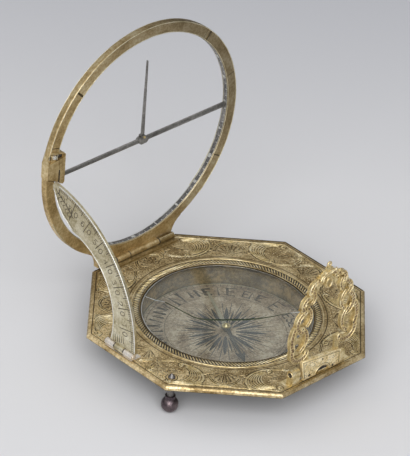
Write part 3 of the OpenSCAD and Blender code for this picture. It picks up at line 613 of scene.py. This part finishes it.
def plateStrokes(look):
    z = look["top"]
    chance = random.Random(look["seed"])
    laid = {"cuts": [], "ridges": [], "lobes": [], "bold": []}
    for k in range(16):
        drawn = {kind: [] for kind in laid}
        (sideOrnament if k % 2 == 0 else cornerOrnament)(drawn)
        turn = radians(22.5 * k)
        c, s = cos(turn), sin(turn)
        flip = -1 if k % 4 == 3 else 1
        for kind, paths in drawn.items():
            for path, thick in paths:
                spots = []
                for x, y in path:
                    x = x * flip + chance.uniform(-0.05, 0.05)
                    y = y + chance.uniform(-0.05, 0.05)
                    spots.append((-s * x + c * y, c * x + s * y, z))
                laid[kind] += [(run, size, up) for run, size in clearRuns(spots, thick)]
    corners = [radians(22.5 + 45 * k) for k in range(-1, 9)]
    farSides = (corners[:4], [("cuts", look["farEdge"], 1.6)])
    for angles, lines in ((corners[1:], look["border"]), farSides):
        for kind, apothem, thick in lines:
            reach = apothem / cos(corners[1])
            ring = [(reach * cos(a), reach * sin(a), z) for a in angles]
            laid[kind] += [(list(ends), thick, up) for ends in zip(ring, ring[1:])]
    for kind, radius, thick in look["bezelLines"]:
        laid[kind].append(hoop(radius, z, thick, 181))
    x, y = look["screws"]
    for side in (-x, x):  # a line round each screw
        laid["cuts"].append((flat(bow((side, y), 2.1, 0, 360, 25), z), 0.9, up))
    return laid


plateArt = plateStrokes(plateLook)
for name, kind, width, height, material, shift, sides in (
        ("plateCuts", "cuts", plateLook["lineWidth"], 0.09, engravedLine, 0.0, 4),
        ("plateRidges", "ridges", plateLook["ridgeWidth"], 0.24, castGilt, 0.33, 6),
        ("plateScrolls", "bold", 0.95, 0.34, castGilt, 0.0, 6),
        ("plateLeaves", "lobes", 0.95, 0.22, giltBrass, 0.0, 6)):
    engrave(name, onPlate, plateArt[kind], width, height, material, shift, sides)


def inCrescent(x, y, look=plateLook):
    # true on the nested cuts of the corner ovals, which have no punches
    k = round((degrees(atan2(y, x)) - 22.5) / 45) % 8
    turn = radians(22.5 + 45 * k)
    across = -sin(turn) * x + cos(turn) * y
    out = cos(turn) * x + sin(turn) * y - look["oval"]
    across = (across - 0.2) * (-1 if k % 2 else 1)
    return (across > 0.3 and hypot(across / 9.4, out / 6.2) < 1
            and hypot(across / 4.4, out / 4.9) > 1)


def groundHost(look, inner=37.0, apothem=48.0, rows=12, columns=240):
    # the free band between the bezel and the border, in small faces, for the punches
    points, faces = [], []
    for i in range(columns):
        a = 2 * pi * i / columns
        off = (degrees(a) + 22.5) % 45 - 22.5
        outer = apothem / cos(radians(off))
        for j in range(rows + 1):
            r = inner + (outer - inner) * j / rows
            points.append((r * cos(a), r * sin(a), look["top"]))
    for i in range(columns):
        for j in range(rows):
            a, b = i * (rows + 1) + j, (i + 1) % columns * (rows + 1) + j
            face = (a, a + 1, b + 1, b)
            if all(keepClear(*points[p][:2]) for p in face) and not inCrescent(*points[a][:2]):
                faces.append(face)
    return newObject("ground", points, faces=faces)


def punchTree():
    # small domes strewn over the ground mesh, none nearer to another than Gap
    tree, start = newTree("punched ground", {"Gap": ("Float", 0.6 * mm),
        "Density": ("Float", 1.0e6), "Dome": ("Vector", None), "Seed": ("Int", 1)})
    strewn = addNode(tree, "GeometryNodeDistributePointsOnFaces", {"Mesh": start["Geometry"],
        "Distance Min": start["Gap"], "Density Max": start["Density"], "Seed": start["Seed"]},
        distribute_method="POISSON")
    dome = addNode(tree, "GeometryNodeMeshUVSphere", {"Segments": 6, "Rings": 3, "Radius": 0.5})
    sized = addNode(tree, "GeometryNodeTransform", {"Geometry": dome, "Scale": start["Dome"]})
    vary = addNode(tree, "FunctionNodeRandomValue", {2: 0.6, 3: 1.35, "Seed": start["Seed"]})
    domes = addNode(tree, "GeometryNodeInstanceOnPoints",
        {"Points": strewn, "Instance": sized, "Scale": vary.outputs[1]})
    return endTree(tree, start, domes)


puncher = punchTree()
# real punch marks are 0.2 mm across; these are coarser so that they show
for name, seed, across, high, gap, material in (
        ("plateMatting", 3, 0.5, 0.14, 0.8, castGilt),
        ("platePits", 8, 0.42, 0.05, 0.85, engravedLine)):
    growPiece(name, onPlate, groundHost(plateLook), puncher, {
        "Gap": gap * mm, "Density": 2.5e6, "Dome": [across * mm, across * mm, high * mm],
        "Seed": seed, "Material": material})
print("plate engraved")

# Rope turned on the bezel that holds the glass

ropeLook = {
    "count": 172,
    "radius": 33.2,
    "bar": (2.9, 0.6, 0.34),  # length, width and height
    "slant": 40.0,
    "top": 10.0,  # mm, the bezel's upper face
}


def ropeTree():
    tree, start = newTree("rope", {"Count": ("Int", 100), "Radius": ("Float", 1.0),
        "Bar": ("Vector", None), "Slant": ("Float", 0.0), "Level": ("Float", 0.0)})
    ring = addNode(tree, "GeometryNodeMeshCircle",
        {"Vertices": start["Count"], "Radius": start["Radius"]})
    bar = addNode(tree, "GeometryNodeMeshUVSphere", {"Segments": 8, "Rings": 4, "Radius": 0.5})
    sized = addNode(tree, "GeometryNodeTransform", {"Geometry": bar, "Scale": start["Bar"]})
    where = addNode(tree, "GeometryNodeInputPosition")
    axes = addNode(tree, "ShaderNodeSeparateXYZ", {0: where})
    turn = addNode(tree, "ShaderNodeMath", {0: axes.outputs["Y"], 1: axes.outputs["X"]},
        operation="ARCTAN2")
    angle = addNode(tree, "ShaderNodeMath", {0: turn, 1: start["Slant"]}, operation="ADD")
    return endTurned(tree, start, ring, sized, angle)


growPiece("bezelRope", onPlate, newObject("rope", [(0, 0, 0)]), ropeTree(), {
    "Count": ropeLook["count"], "Radius": ropeLook["radius"] * mm,
    "Bar": [side * mm for side in ropeLook["bar"]], "Slant": radians(ropeLook["slant"]),
    "Level": ropeLook["top"] * mm, "Material": castGilt})
engrave("bezelGround", onPlate, [hoop(ropeLook["radius"], ropeLook["top"], 1.0, 181)], 2.3, 0.04,
        blackWaxAndShade)
# a dark line round the bezel's inner face
innerFaceLine = [((x, y, 9.72), (-x / 31.6, -y / 31.6, 0)) for x, y in bow((0, 0), 31.6, 0, 360, 91)]
engrave("bezelInnerLine", onPlate, [faced(innerFaceLine, 1.0)], 0.5, 0.05, engravedLine)
# painted highlight: the ground edge of the glass is drawn bright, most of all on the far left
onGlass = ("base", "old_glass")
engrave("glassEdge", onGlass, [hoop(31.3, 9.42, 0.6, 121, -200, 150),
    hoop(31.15, 9.44, swell(61, 1.5, 0.4), 61, 95, 215)], 0.3, 0.05, brightSilverAndHighlight)
print("bezel turned")

# The crack across the glass: its dark line and its white splintered edges

crackLook = {
    "level": 9.41,  # mm, just above the glass
    "white": [[(-16.4, 27.3), (-14.9, 22.5), (-12.9, 19.3)],
              [(18.4, -13.8), (21.7, -15.6), (23.2, -16.7), (26.6, -16.2)]],
    "dark": [(-12.9, 19.3), (-12.3, 14.6), (-12.1, 12.2), (-11.6, 8.0), (-11.3, 5.1), (-9.1, 2.1),
             (-4.4, -1.9), (-0.6, -4.7), (2.4, -6.8), (6.6, -9.4), (10.8, -11.2), (18.4, -13.8)],
    "darkWidths": [1.5, 1.8, 1.8, 1.8, 2.1, 2.7, 3.3, 3.6, 3.5, 2.6, 1.8, 1.0],
}
# the crack's dark line, bottle green through the glass
crackLineTone = patinaMetal("green-black line of cracked glass", ("#20281E", "#363F2E", "#566048"),
    (0.6, 0.8), bump=0.2, metallic=0.0, shine=0.1)
# painted reflection: the splintered edges are drawn nearly white, as they catch the light
splinterReflection = patinaMetal("painted reflection on splintered glass", ("#A8B0AE", "#D8DEDC", "#FAFCFB"), (0.15, 0.3),
    cloud=3.0, speck=0.4, stops=(0.34, 0.6), metallic=0.0)
engrave("crackDark", onGlass, [(flat(crackLook["dark"], crackLook["level"]),
    crackLook["darkWidths"], up)], 0.3, 0.04, crackLineTone)
engrave("crackWhite", onGlass, [(flat(path, crackLook["level"]), swell(len(path), 1.1, 0.5), up)
    for path in crackLook["white"]], 0.3, 0.06, splinterReflection)
print("glass cracked")

# Figures for the scales, on a grid 4 wide and 6 high

figureStrokes = {
    "0": [[(2, 0), (0.6, 0.8), (0, 3), (0.6, 5.2), (2, 6), (3.4, 5.2), (4, 3), (3.4, 0.8), (2, 0)]],
    "1": [[(1, 4.8), (2.2, 6), (2.2, 0)]],
    "2": [[(0.2, 4.6), (0.8, 5.7), (2, 6), (3.3, 5.5), (3.6, 4.3), (2.8, 2.8), (0.2, 0), (4, 0)]],
    "3": [[(0.3, 5.4), (2, 6), (3.5, 5.1), (3.3, 3.8), (1.8, 3.2), (3.4, 2.6), (3.8, 1.2),
           (2.4, 0), (0.2, 0.6)]],
    "4": [[(3, 0), (3, 6), (0, 1.8), (4, 1.8)]],
    "5": [[(3.6, 6), (0.9, 6), (0.5, 3.4), (2.2, 3.8), (3.8, 2.6), (3.6, 0.9), (2, 0), (0.2, 0.6)]],
    "6": [[(3.4, 5.6), (2, 6), (0.6, 4.4), (0.2, 2), (1, 0.3), (2.6, 0), (3.8, 1.2), (3.4, 2.8),
           (2, 3.4), (0.5, 2.4)]],
    "7": [[(0.2, 6), (4, 6), (1.6, 0)]],
    "I": [[(1, 0), (1, 6)], [(0.2, 0), (1.8, 0)], [(0.2, 6), (1.8, 6)]],
    "V": [[(0, 6), (1.9, 0), (3.8, 6)]],
    "X": [[(0, 6), (3.8, 0)], [(0, 0), (3.8, 6)]],
    "N": [[(0, 0), (0, 6), (4, 0), (4, 6)], [(-0.7, 0), (0.7, 0)], [(3.3, 6), (4.7, 6)]],
    "E": [[(3.8, 0), (0, 0), (0, 6), (3.8, 6)], [(0, 3.1), (2.8, 3.1)]],
    "S": [[(3.7, 5), (2.2, 6), (0.5, 5.2), (0.7, 3.7), (3.2, 2.4), (3.6, 0.9), (2, 0), (0.2, 1)]],
    "W": [[(-0.4, 6), (1, 0), (2, 4), (3, 0), (4.4, 6)]],
}
figureWidths = {"1": 3.0, "I": 2.2}


def figures(text, place, height, thick=1.0):
    # place(x, y) gives the spot and facing for a point of the text's own plane, centred on it
    unit = height / 6
    widths = [figureWidths.get(sign, 4.6) for sign in text]
    x = -sum(widths) / 2 + 0.3
    strokes = []
    for sign, width in zip(text, widths):
        for path in figureStrokes[sign]:
            strokes.append(
                faced([place((x + px) * unit, (py - 3) * unit) for px, py in path], thick))
        x += width
    return strokes


# Latitude arc: degree scale, tens and border, cut on its outer face

onArc = ("arc", "silvered_brass")
arcLook = {
    "face": -47.9,  # mm, the plane of the scale
    "centre": (48.5, 11.3),
    "edge": 50.7,
    "scaleFrom": 1.5,  # degrees between the foot and the scale's zero
    "innerCentre": (37.5, 19.2),
    "innerRadius": 27.5,
    "horn": [(66.5, 38.1), (71.8, 39.2), (75.7, 40.0), (80.1, 42.3), (82.9, 45.1), (85.0, 47.6)],
    "tens": 45.6,  # distance of the numerals
    "hinge": (-48.0, 11.35),
}


def arcSpot(angle, radius, look=arcLook):
    a = radians(angle)
    return (look["face"], look["centre"][0] - radius * cos(a), look["centre"][1] + radius * sin(a))


def innerReach(angle, look=arcLook):
    # distance from the ring's hinge to the arc's inner edge in one direction
    a = radians(angle)
    cx = look["innerCentre"][0] - look["centre"][0]
    cy = look["innerCentre"][1] - look["centre"][1]
    along = -cos(a) * cx + sin(a) * cy
    return along + sqrt(along ** 2 - (cx ** 2 + cy ** 2 - look["innerRadius"] ** 2))


def arcStrokes(look):
    strokes = []

    def cut(thick, *spots):
        strokes.append(([arcSpot(a, r) for a, r in spots], thick, west))

    zero, middle = look["scaleFrom"], look["tens"]
    for degree in range(81):
        five = degree % 5 == 0
        cut(0.95 if five else 0.6, (degree + zero, 47.7 if five else 48.9), (degree + zero, 50.1))
    for fives in range(5, 80, 10):  # every other five degrees is hatched dark
        cut(0.8, *[(fives + zero + 0.6 * k, 49.5) for k in range(9)])
    cut(0.6, *[(a, 48.9) for a in range(2, 83, 2)])
    for tens in range(1, 8):
        angle = tens * 10 + zero
        start = innerReach(angle) + 0.33 * (look["edge"] - innerReach(angle))
        cut(1.1, (angle, start), (angle, 50.2))
        for sign, shift in ((str(tens), 2.4), ("0", -2.4)):
            def place(x, y, turn=angle + shift):
                return arcSpot(turn - degrees(x / middle), middle + y), west
            strokes += figures(sign, place, 2.4)
    for k in range(6):  # shading at the foot
        a, r = 2.6 + 0.2 * k, 39.6 + 1.0 * k
        cut([1.2, 0.4], (a, r), (a + 5.5 - 0.4 * k, r + 0.2))
    for side in (-1, 1):  # leaf in the tip
        for k in range(7):
            a, r = 70.5 + 1.9 * k, 43.6 + 0.62 * k
            cut(swell(3, 1.5, 0.6), (a, r), (a + 1.6, r + side * 1.1),
                (a + 1.2 + 0.5 * side, r + side * (2.6 - 0.18 * k)))
    cut(1.2, *[(69.5 + 1.6 * k, 43.2 + 0.55 * k) for k in range(9)])
    cut(0.9, *[(a, r + 1.1) for a, r in look["horn"][:-1]])
    return strokes


def arcRims(look):
    # painted highlights: the bright lines that run along both edges of the arc
    inner = [(a, innerReach(a)) for a in range(3, 66, 3)] + look["horn"]
    return [([arcSpot(a, r + 0.28) for a, r in inner], 0.8, west),
            ([arcSpot(a, 50.42) for a in range(2, 84, 2)], 1.1, west)]


engrave("arcScale", onArc, arcStrokes(arcLook), 0.32, 0.06, rubbedWax)
engrave("arcRims", onArc, arcRims(arcLook), 0.5, 0.3, brightSilverAndHighlight, sides=6)
engrave("arcHingeGaps", ("base", "silvered_brass"),
        [barrelLine(arcLook["hinge"], -10, 175, 13, y, "y") for y in (2.9, 7.7)],
        0.5, 0.06, blackWaxAndShade)
print("latitude arc divided")

# Hour ring: silvered inner wall with the hours, and the marks of its joints

ringLook = {
    "middle": 58.9,  # height of its centre
    "wall": 42.65,
    "near": 49.6,
    "far": 52.2,
    "hours": ["XII", "I", "II", "III", "IIII", "V", "VI", "VII", "VIII", "IX", "X", "XI"],
    "edges": (42.82, 46.76),
    "joints": [(47.9, 2.6), (50.4, 0.7), (136.5, 2.0), (-28.6, 1.0), (16, 0.7), (164, 0.7)],
}


def ringWallHost(look, count=240):
    points, faces = [], []
    for i in range(count):
        a = 2 * pi * i / count
        for y in (look["near"] + 0.34, look["far"] - 0.34):
            for r in (look["wall"] - 0.05, look["wall"] + 0.1):
                x, z = polar(0, look["middle"], r, a)
                points.append((x, y, z))
        a, b = 4 * i, 4 * ((i + 1) % count)
        faces += [(a, a + 2, b + 2, b), (a + 1, b + 1, b + 3, a + 3),
                  (a, b, b + 1, a + 1), (a + 2, a + 3, b + 3, b + 2)]
    return newObject("ringSilvering", points, faces=faces)


def wallSpot(angle, y, look=ringLook):
    a = radians(angle)
    x, z = polar(0, look["middle"], look["wall"] - 0.06, a)
    return (x, y, z), (-cos(a), 0, -sin(a))


def ringStrokes(look):
    foot = look["near"] + 0.4
    strokes = []
    for quarter in range(96):  # quarter hours
        length = 1.5 if quarter % 4 == 0 else 0.8
        strokes.append(faced([wallSpot(quarter * 3.75, y) for y in (foot, foot + length)], 0.8))
    for k in range(24):
        def place(x, y, middle=270 + 15 * k):
            return wallSpot(middle + degrees(x / look["wall"]), look["near"] + 1.45 + y * 0.8)
        strokes += figures(look["hours"][k % 12], place, 1.1)
    return strokes


def ringArc(edge, start, stop, y, facing, look=ringLook):
    count = int(abs(stop - start) / 2.5) + 2
    path = bow((0, look["middle"]), look["edges"][edge], start, stop, count)
    return upright(path, y), 1.0, facing


onWall, onRing = ("ring", "silvered_brass"), ("ring", "worn_brass")
near, far = ringLook["near"], ringLook["far"]
ringWall = ringWallHost(ringLook)
scene.collection.objects.link(ringWall)
ringWall.data.materials.append(slateSilver)
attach(ringWall, "ring")
engrave("ringHours", onWall, ringStrokes(ringLook), 0.34, 0.05, brightSilverAndHighlight)
engrave("ringWallLines", onWall, [faced([wallSpot(a, y) for a in range(0, 361, 3)], 1.0)
    for y in (near + 0.42, far - 0.42)], 0.16, 0.04, brightSilverAndHighlight)
# painted highlights along the ring's edges; the index block and the lug cover the rest of them
engrave("ringEdges", onRing, [
    ringArc(0, -161, 170, near, front), ringArc(1, -48, 170, near, front),
    ringArc(1, 205, 228, near, front), ringArc(0, -48, 170, far, rear),
    ringArc(1, -48, 170, far, rear)], 0.34, 0.16, silveredBrass, sides=6)
jointMarks = [(upright([polar(0, ringLook["middle"], r, radians(angle)) for r in (42.9, 46.7)],
    near), thick, front) for angle, thick in ringLook["joints"]]
engrave("ringJoints", onRing, jointMarks, 0.42, 0.05, engravedLine)

hingeLook = {"middle": (48.5, 11.3), "ends": 10.6, "halfway": -4.0}


def knuckleLine(x, look=hingeLook):
    return barrelLine(look["middle"], 20, 215, 15, x, "x")


onHinge = ("base", "worn_brass")
engrave("ringHingeGaps", onHinge, [knuckleLine(x) for x in (-hingeLook["ends"], hingeLook["ends"])],
        0.55, 0.06, blackWaxAndShade)
engrave("ringKnuckleGap", onRing, [knuckleLine(hingeLook["halfway"])], 0.45, 0.06, blackWaxAndShade)
# painted shade under the barrel, and a painted highlight along its top
engrave("ringHingeShade", onHinge, [([(-17.8, 47.1, 10.02), (17.8, 47.1, 10.02)], 1.0, up)],
        0.55, 0.05, blackWaxAndShade)
engrave("ringHingeShine", onHinge, [([(side * 11.0, 48.1, 12.43), (side * 17.7, 48.1, 12.43)], 1.0,
    (0, -0.33, 0.94)) for side in (-1, 1)], 0.5, 0.08, silveredBrass)
# painted shade in the index block's recess above the tongue and in the slot beside it
blockShadeStrokes = [([(-45.6, 50.08, 67.7), (-39.3, 50.08, 67.1)], 3.4, front),
    ([(-40.7, 50.0, 56.4), (-40.7, 50.0, 61.6)], 3.0, west)]
engrave("blockShade", onRing, blockShadeStrokes, 0.5, 0.05, blackWaxAndShade)
print("hour ring divided")

# Compass dial: wind rose, rim circle, points and degrees

onDial = ("base", "silvered_dial")
dialLook = {
    "top": 1.7,
    "petal": 0.06,  # height of a ray along its middle
    "rays": [("roseMain", 8, 15.6, 2.1, 3.6, 0.0), ("roseHalf", 8, 15.0, 1.7, 4.2, 22.5),
             ("roseQuarter", 16, 14.0, 0.8, 5.5, 11.25),
             ("roseLines", 32, 20.0, 0.36, 9.0, 5.625)],  # count, length, width, foot, turn
    "circles": (22.4, 29.4, 30.6),
    "letters": 25.8,
    "letterHeights": (5.6, 4.8, 3.8),  # for one, two and three letters
    "winds": ["E", "ENE", "NE", "NNE", "N", "NNW", "NW", "WNW",
              "W", "WSW", "SW", "SSW", "S", "SSE", "SE", "ESE"],
}


def petalHost(length, width, foot, look=dialLook, count=9):
    # a lens-shaped ray, higher along its middle line
    points, faces = [], []
    for i in range(count):
        f = i / (count - 1)
        x = foot + (length - foot) * f
        half = width / 2 * sin(pi * min(f * 0.86 + 0.07, 1)) ** 0.8 * (1 - f) ** 0.25
        points += [(x, -half, 0.0), (x, 0.0, look["petal"]), (x, half, 0.0), (x, 0.0, -0.02)]
    for a in range(0, 4 * count - 4, 4):
        faces += [(a + j, a + 4 + j, a + 4 + (j + 1) % 4, a + (j + 1) % 4) for j in range(4)]
    last = 4 * count - 1
    faces += [(0, 1, 2, 3), (last, last - 1, last - 2, last - 3)]
    return newObject("petal", points, faces=faces)


def roseTree():
    tree, start = newTree("wind rose",
        {"Rays": ("Int", 8), "Level": ("Float", 0.0), "Offset": ("Float", 0.0)})
    centre = addNode(tree, "GeometryNodePoints", {"Count": start["Rays"]})
    index = addNode(tree, "GeometryNodeInputIndex")
    step = addNode(tree, "ShaderNodeMath", {0: 2 * pi, 1: start["Rays"]}, operation="DIVIDE")
    turn = addNode(tree, "ShaderNodeMath", {0: index, 1: step, 2: start["Offset"]},
        operation="MULTIPLY_ADD")
    return endTurned(tree, start, centre, start["Geometry"], turn)


rose = roseTree()
roseInk = patinaMetal("blue-black enamel in the rose", ("#1E222A", "#333944", "#565B62"),
    (0.45, 0.6), cloud=3.0, stops=(0.3, 0.7), bump=0.2, metallic=0.2)
for name, rays, length, width, foot, offset in dialLook["rays"]:
    growPiece(name, onDial, petalHost(length, width, foot), rose, {
        "Rays": rays, "Level": dialLook["top"] * mm, "Offset": radians(offset),
        "Material": roseInk})


def dialStrokes(look):
    top, middle = look["top"], look["letters"]
    strokes = [hoop(radius, top, 0.5) for radius in look["circles"]]
    for degree in range(0, 360, 5):
        inner = 29.4 if degree % 10 else 28.9
        ends = [polar(0, 0, r, radians(degree)) for r in (inner, 30.6)]
        strokes.append((flat(ends, top), 0.6, up))
    for k, text in enumerate(look["winds"]):
        def place(x, y, turn=radians(22.5 * k)):
            return (*polar(0, 0, middle + y, turn - x / middle), top), up
        thick = 3.0 if 3 <= k <= 7 else 1.7  # the ink has faded away from the ring's side
        strokes += figures(text, place, look["letterHeights"][len(text) - 1], thick)
    return strokes


engrave("dialFigures", onDial, dialStrokes(dialLook), 0.36, 0.05, blackWaxAndShade)
# the card's bright cut edge, and a painted shadow along the wall's foot
engrave("cardEdge", onDial, [hoop(30.75, 1.72, 1.0)], 0.4, 0.05, silveredBrass)
engrave("cardShadow", onDial, [hoop(31.1, 1.72, 1.0)], 0.3, 0.05, blackWaxAndShade)
print("dial drawn")

# Plumb bracket: half-round scrolls chased on the pierced arch

onBracket = ("bracket", "bright_gilt")
bracketLook = {  # x and z are in the arch's plane, and each form is drawn on both sides
    "front": -47.8,  # mm, the arch's outer face
    "back": -46.5,
    "scrolls": [(11.6, 23.8, 4.1, -155, 24, 1.7), (5.5, 29.2, 10.6, -22, 27, 1.7),
                (14.4, 28.4, 5.6, 126, 238, 1.3), (9.6, 35.4, 4.3, -75, 88, 1.6),
                (12.3, 37.2, 4.8, 126, 230, 1.2), (8.9, 42.2, 2.9, -70, 105, 1.5),
                (9.5, 44.9, 3.1, 136, 234, 1.2), (5.6, 47.4, 2.9, -55, 128, 1.4)],
    "eyes": [(8.3, 21.9, 1.25), (11.2, 32.9, 1.1), (10.6, 39.6, 1.0), (8.2, 45.2, 0.9),
             (3.5, 50.0, 1.0)],
    "dots": [(8.3, 21.9), (11.2, 32.9), (10.6, 39.6), (8.2, 45.2), (3.5, 50.0), (15.0, 25.0),
             (13.0, 36.2), (10.9, 43.4), (13.3, 21.0)],
    "clusters": [(4.2, 51.2), (6.2, 49.0), (2.2, 52.2), (8.6, 46.2), (11.0, 42.0)],
    "tufts": [(14.6, 26.2, 1.6, 60, 1.3), (11.9, 33.6, 1.3, 40, 1.2), (12.3, 40.6, 1.2, 40, 1.1),
              (9.1, 46.7, 1.3, 70, 1.2), (5.9, 50.2, 1.2, 80, 1.2), (10.0, 25.6, 1.3, 150, 1.1),
              (8.2, 37.8, 1.1, 200, 1.0), (6.6, 43.2, 1.1, 220, 1.0)],
}


def bracketStrokes(look, y, facing):
    drawn = {"rims": [], "ground": [], "veins": [], "dots": []}

    def lay(kind, path, thick, side=1):
        drawn[kind].append(([(side * px, y, pz) for px, pz in path], thick, facing))

    for side in (-1, 1):
        for x, z, r, start, stop, width in look["scrolls"]:
            lay("ground", bow((x, z), r, start, stop, 21), swell(21, width, width * 0.6), side)
            for shift, thick in ((0.5, 0.78), (-0.5, 0.62)):
                path = bow((x, z), r + shift * width, start, stop, 21)
                lay("rims", path, swell(21, thick, 0.55), side)
            count = max(3, int(abs(stop - start) / 57.3 * r / 1.15))
            for k in range(1, count):  # the ribs of the leaf between its rims
                a = radians(start + (stop - start) * k / count)
                lay("veins", [polar(x, z, r - 0.3 * width, a),
                    polar(x, z, r + 0.3 * width, a + 0.35 / r)], [0.7, 1.1], side)
        for x, z, r in look["eyes"]:
            lay("rims", curl((x, z), r, 30, 1.2, 16, 0.35), 0.62, side)
        for x, z in look["dots"]:
            lay("dots", bow((x, z), 0.16, 0, 360, 9), 1.0, side)
        for x, z in look["clusters"]:  # three small leaves each
            for k in range(3):
                a = radians(20 + 50 * k)
                lay("rims", [(x, z), polar(x, z, 0.8, a), polar(x, z, 1.4, a + 0.3)],
                    [0.5, 1.1, 0.4], side)
        for x, z, length, lean, thick in look["tufts"]:  # small pointed leaves on the outline
            a = radians(lean)
            lay("rims", [(x, z), polar(x, z, 0.5 * length, a), polar(x, z, length, a + 0.35)],
                [thick, thick, 0.4], side)
    lay("ground", bow((0, 48), 4.5, 32, 148, 15), 1.3)
    lay("rims", bow((0, 48), 5.0, 30, 150, 15), 1.0)
    lay("rims", bow((0, 48), 4.0, 34, 146, 15), 0.8)
    lay("rims", bow((0, 48.3), (1.35, 2.0), 0, 360, 25), 1.1)
    for k in range(5):  # the shell on the crown
        a = radians(90 + (k - 2) * 24)
        lay("rims", [polar(0, 51.2, 0.9, a), polar(0, 51.2, 2.3, a)], [0.7, 1.3])
    return drawn


# folded, the back passes 0.25 mm above the plate, so its chasing is nearly flat
for end, y, facing, rise in (("Front", bracketLook["front"], front, 1.0),
        ("Back", bracketLook["back"], rear, 0.13)):
    art = bracketStrokes(bracketLook, y, facing)
    for name, kind, width, height, material, sides in (
            ("chasing", "ground", 0.72, 0.05 + 0.11 * rise, chasedGround, 6),
            ("scrolls", "rims", 0.52, 0.72 * rise, castGilt, 8),
            ("ribs", "veins", 0.34, 0.02 + 0.38 * rise, castGilt, 6),
            ("eyes", "dots", 0.45, 0.05 + 0.25 * rise, blackWaxAndShade, 4)):
        engrave(name + end, onBracket, art[kind], width, height, material, sides=sides)
print("bracket chased")

# Foot plate of the bracket: punched ground, border, and the rim of its arched opening

footLook = {
    "face": -48.4,  # mm, its outer face
    "border": [(-8.5, 11.0), (-9.75, 18.1), (8.4, 15.75), (8.5, 11.0)],
    "arch": (0.3, 9.4, 3.5),  # x and z of its centre, and its radius
    "holes": [(-6.3, 11.5, 0.5), (5.5, 11.1, 0.5), (0.0, 15.9, 0.35)],
    "dots": 140,
    "seed": 4,
}


def footStrokes(look):
    y = look["face"]
    x0, z0, radius = look["arch"]
    chance = random.Random(look["seed"])

    def lay(path, thick):
        return upright(path, y), thick, front

    def archLine(gap, thick):
        return lay(bow((x0, z0), radius + gap, 22, 158, 25), thick)

    rims = [lay([(x * 1.045, 10.95 + (z - 10.95) * 1.07) for x, z in look["border"]], 1.0),
            archLine(0.35, 1.4)]
    cuts = [lay(look["border"], 1.0), archLine(0.95, 0.9)]
    while len(cuts) < look["dots"]:
        x, z = chance.uniform(-9.2, 8.2), chance.uniform(11.2, 17.4)
        low = hypot(x - x0, z - z0) < radius + 1.4
        if low or z > 17.4 - 0.125 * (x + 9.2) or x < -8.4 - 0.175 * (z - 11):
            continue
        turn = chance.uniform(0, pi)
        dx, dz = 0.09 * cos(turn), 0.09 * sin(turn)
        cuts.append(lay([(x - dx, z - dz), (x + dx, z + dz)], 1.0))
    holes = [lay(bow((x, z), r / 2, 0, 360, 13), r) for x, z, r in look["holes"]]
    return rims, cuts, holes


footRims, footCuts, footHoles = footStrokes(footLook)
engrave("footBorder", onBracket, footCuts, 0.26, 0.06, engravedLine)
engrave("footRims", onBracket, footRims, 0.4, 0.18, castGilt, sides=6)
engrave("footHoles", onBracket, footHoles, 1.1, 0.04, blackWaxAndShade)
# painted shade: a dark sheet in the arched opening, behind its edge
archShade = upright(bow(footLook["arch"][:2], 2.9, 38, 142, 15), -47.95)
engrave("footShade", onBracket, [(archShade, 1.0, front)], 1.25, 0.05, blackWaxAndShade)
# and painted shade on the fixed knuckle inside it
onLug = ("base", "bright_gilt")
knuckleShade = [(-1.65, -47.98, 11.83), (2.25, -47.98, 11.83)]
engrave("knuckleShade", onLug, [(knuckleShade, 1.0, (0, -0.64, 0.77))], 0.9, 0.05, blackWaxAndShade)
# the bore of the square lug, painted shade inside a bright raised rim
for name, radius, width, height, material, sides in (
        ("lugBoreShade", 0.62, 0.6, 0.05, blackWaxAndShade, 4), ("lugRim", 1.15, 0.4, 0.2, castGilt, 6)):
    circle = [(-14.62, y, z) for y, z in bow((-46.9, 14.2), radius, 0, 360, 25)]
    engrave(name, onLug, [(circle, 1.0, west)], width, height, material, sides=sides)
print("foot plate punched")
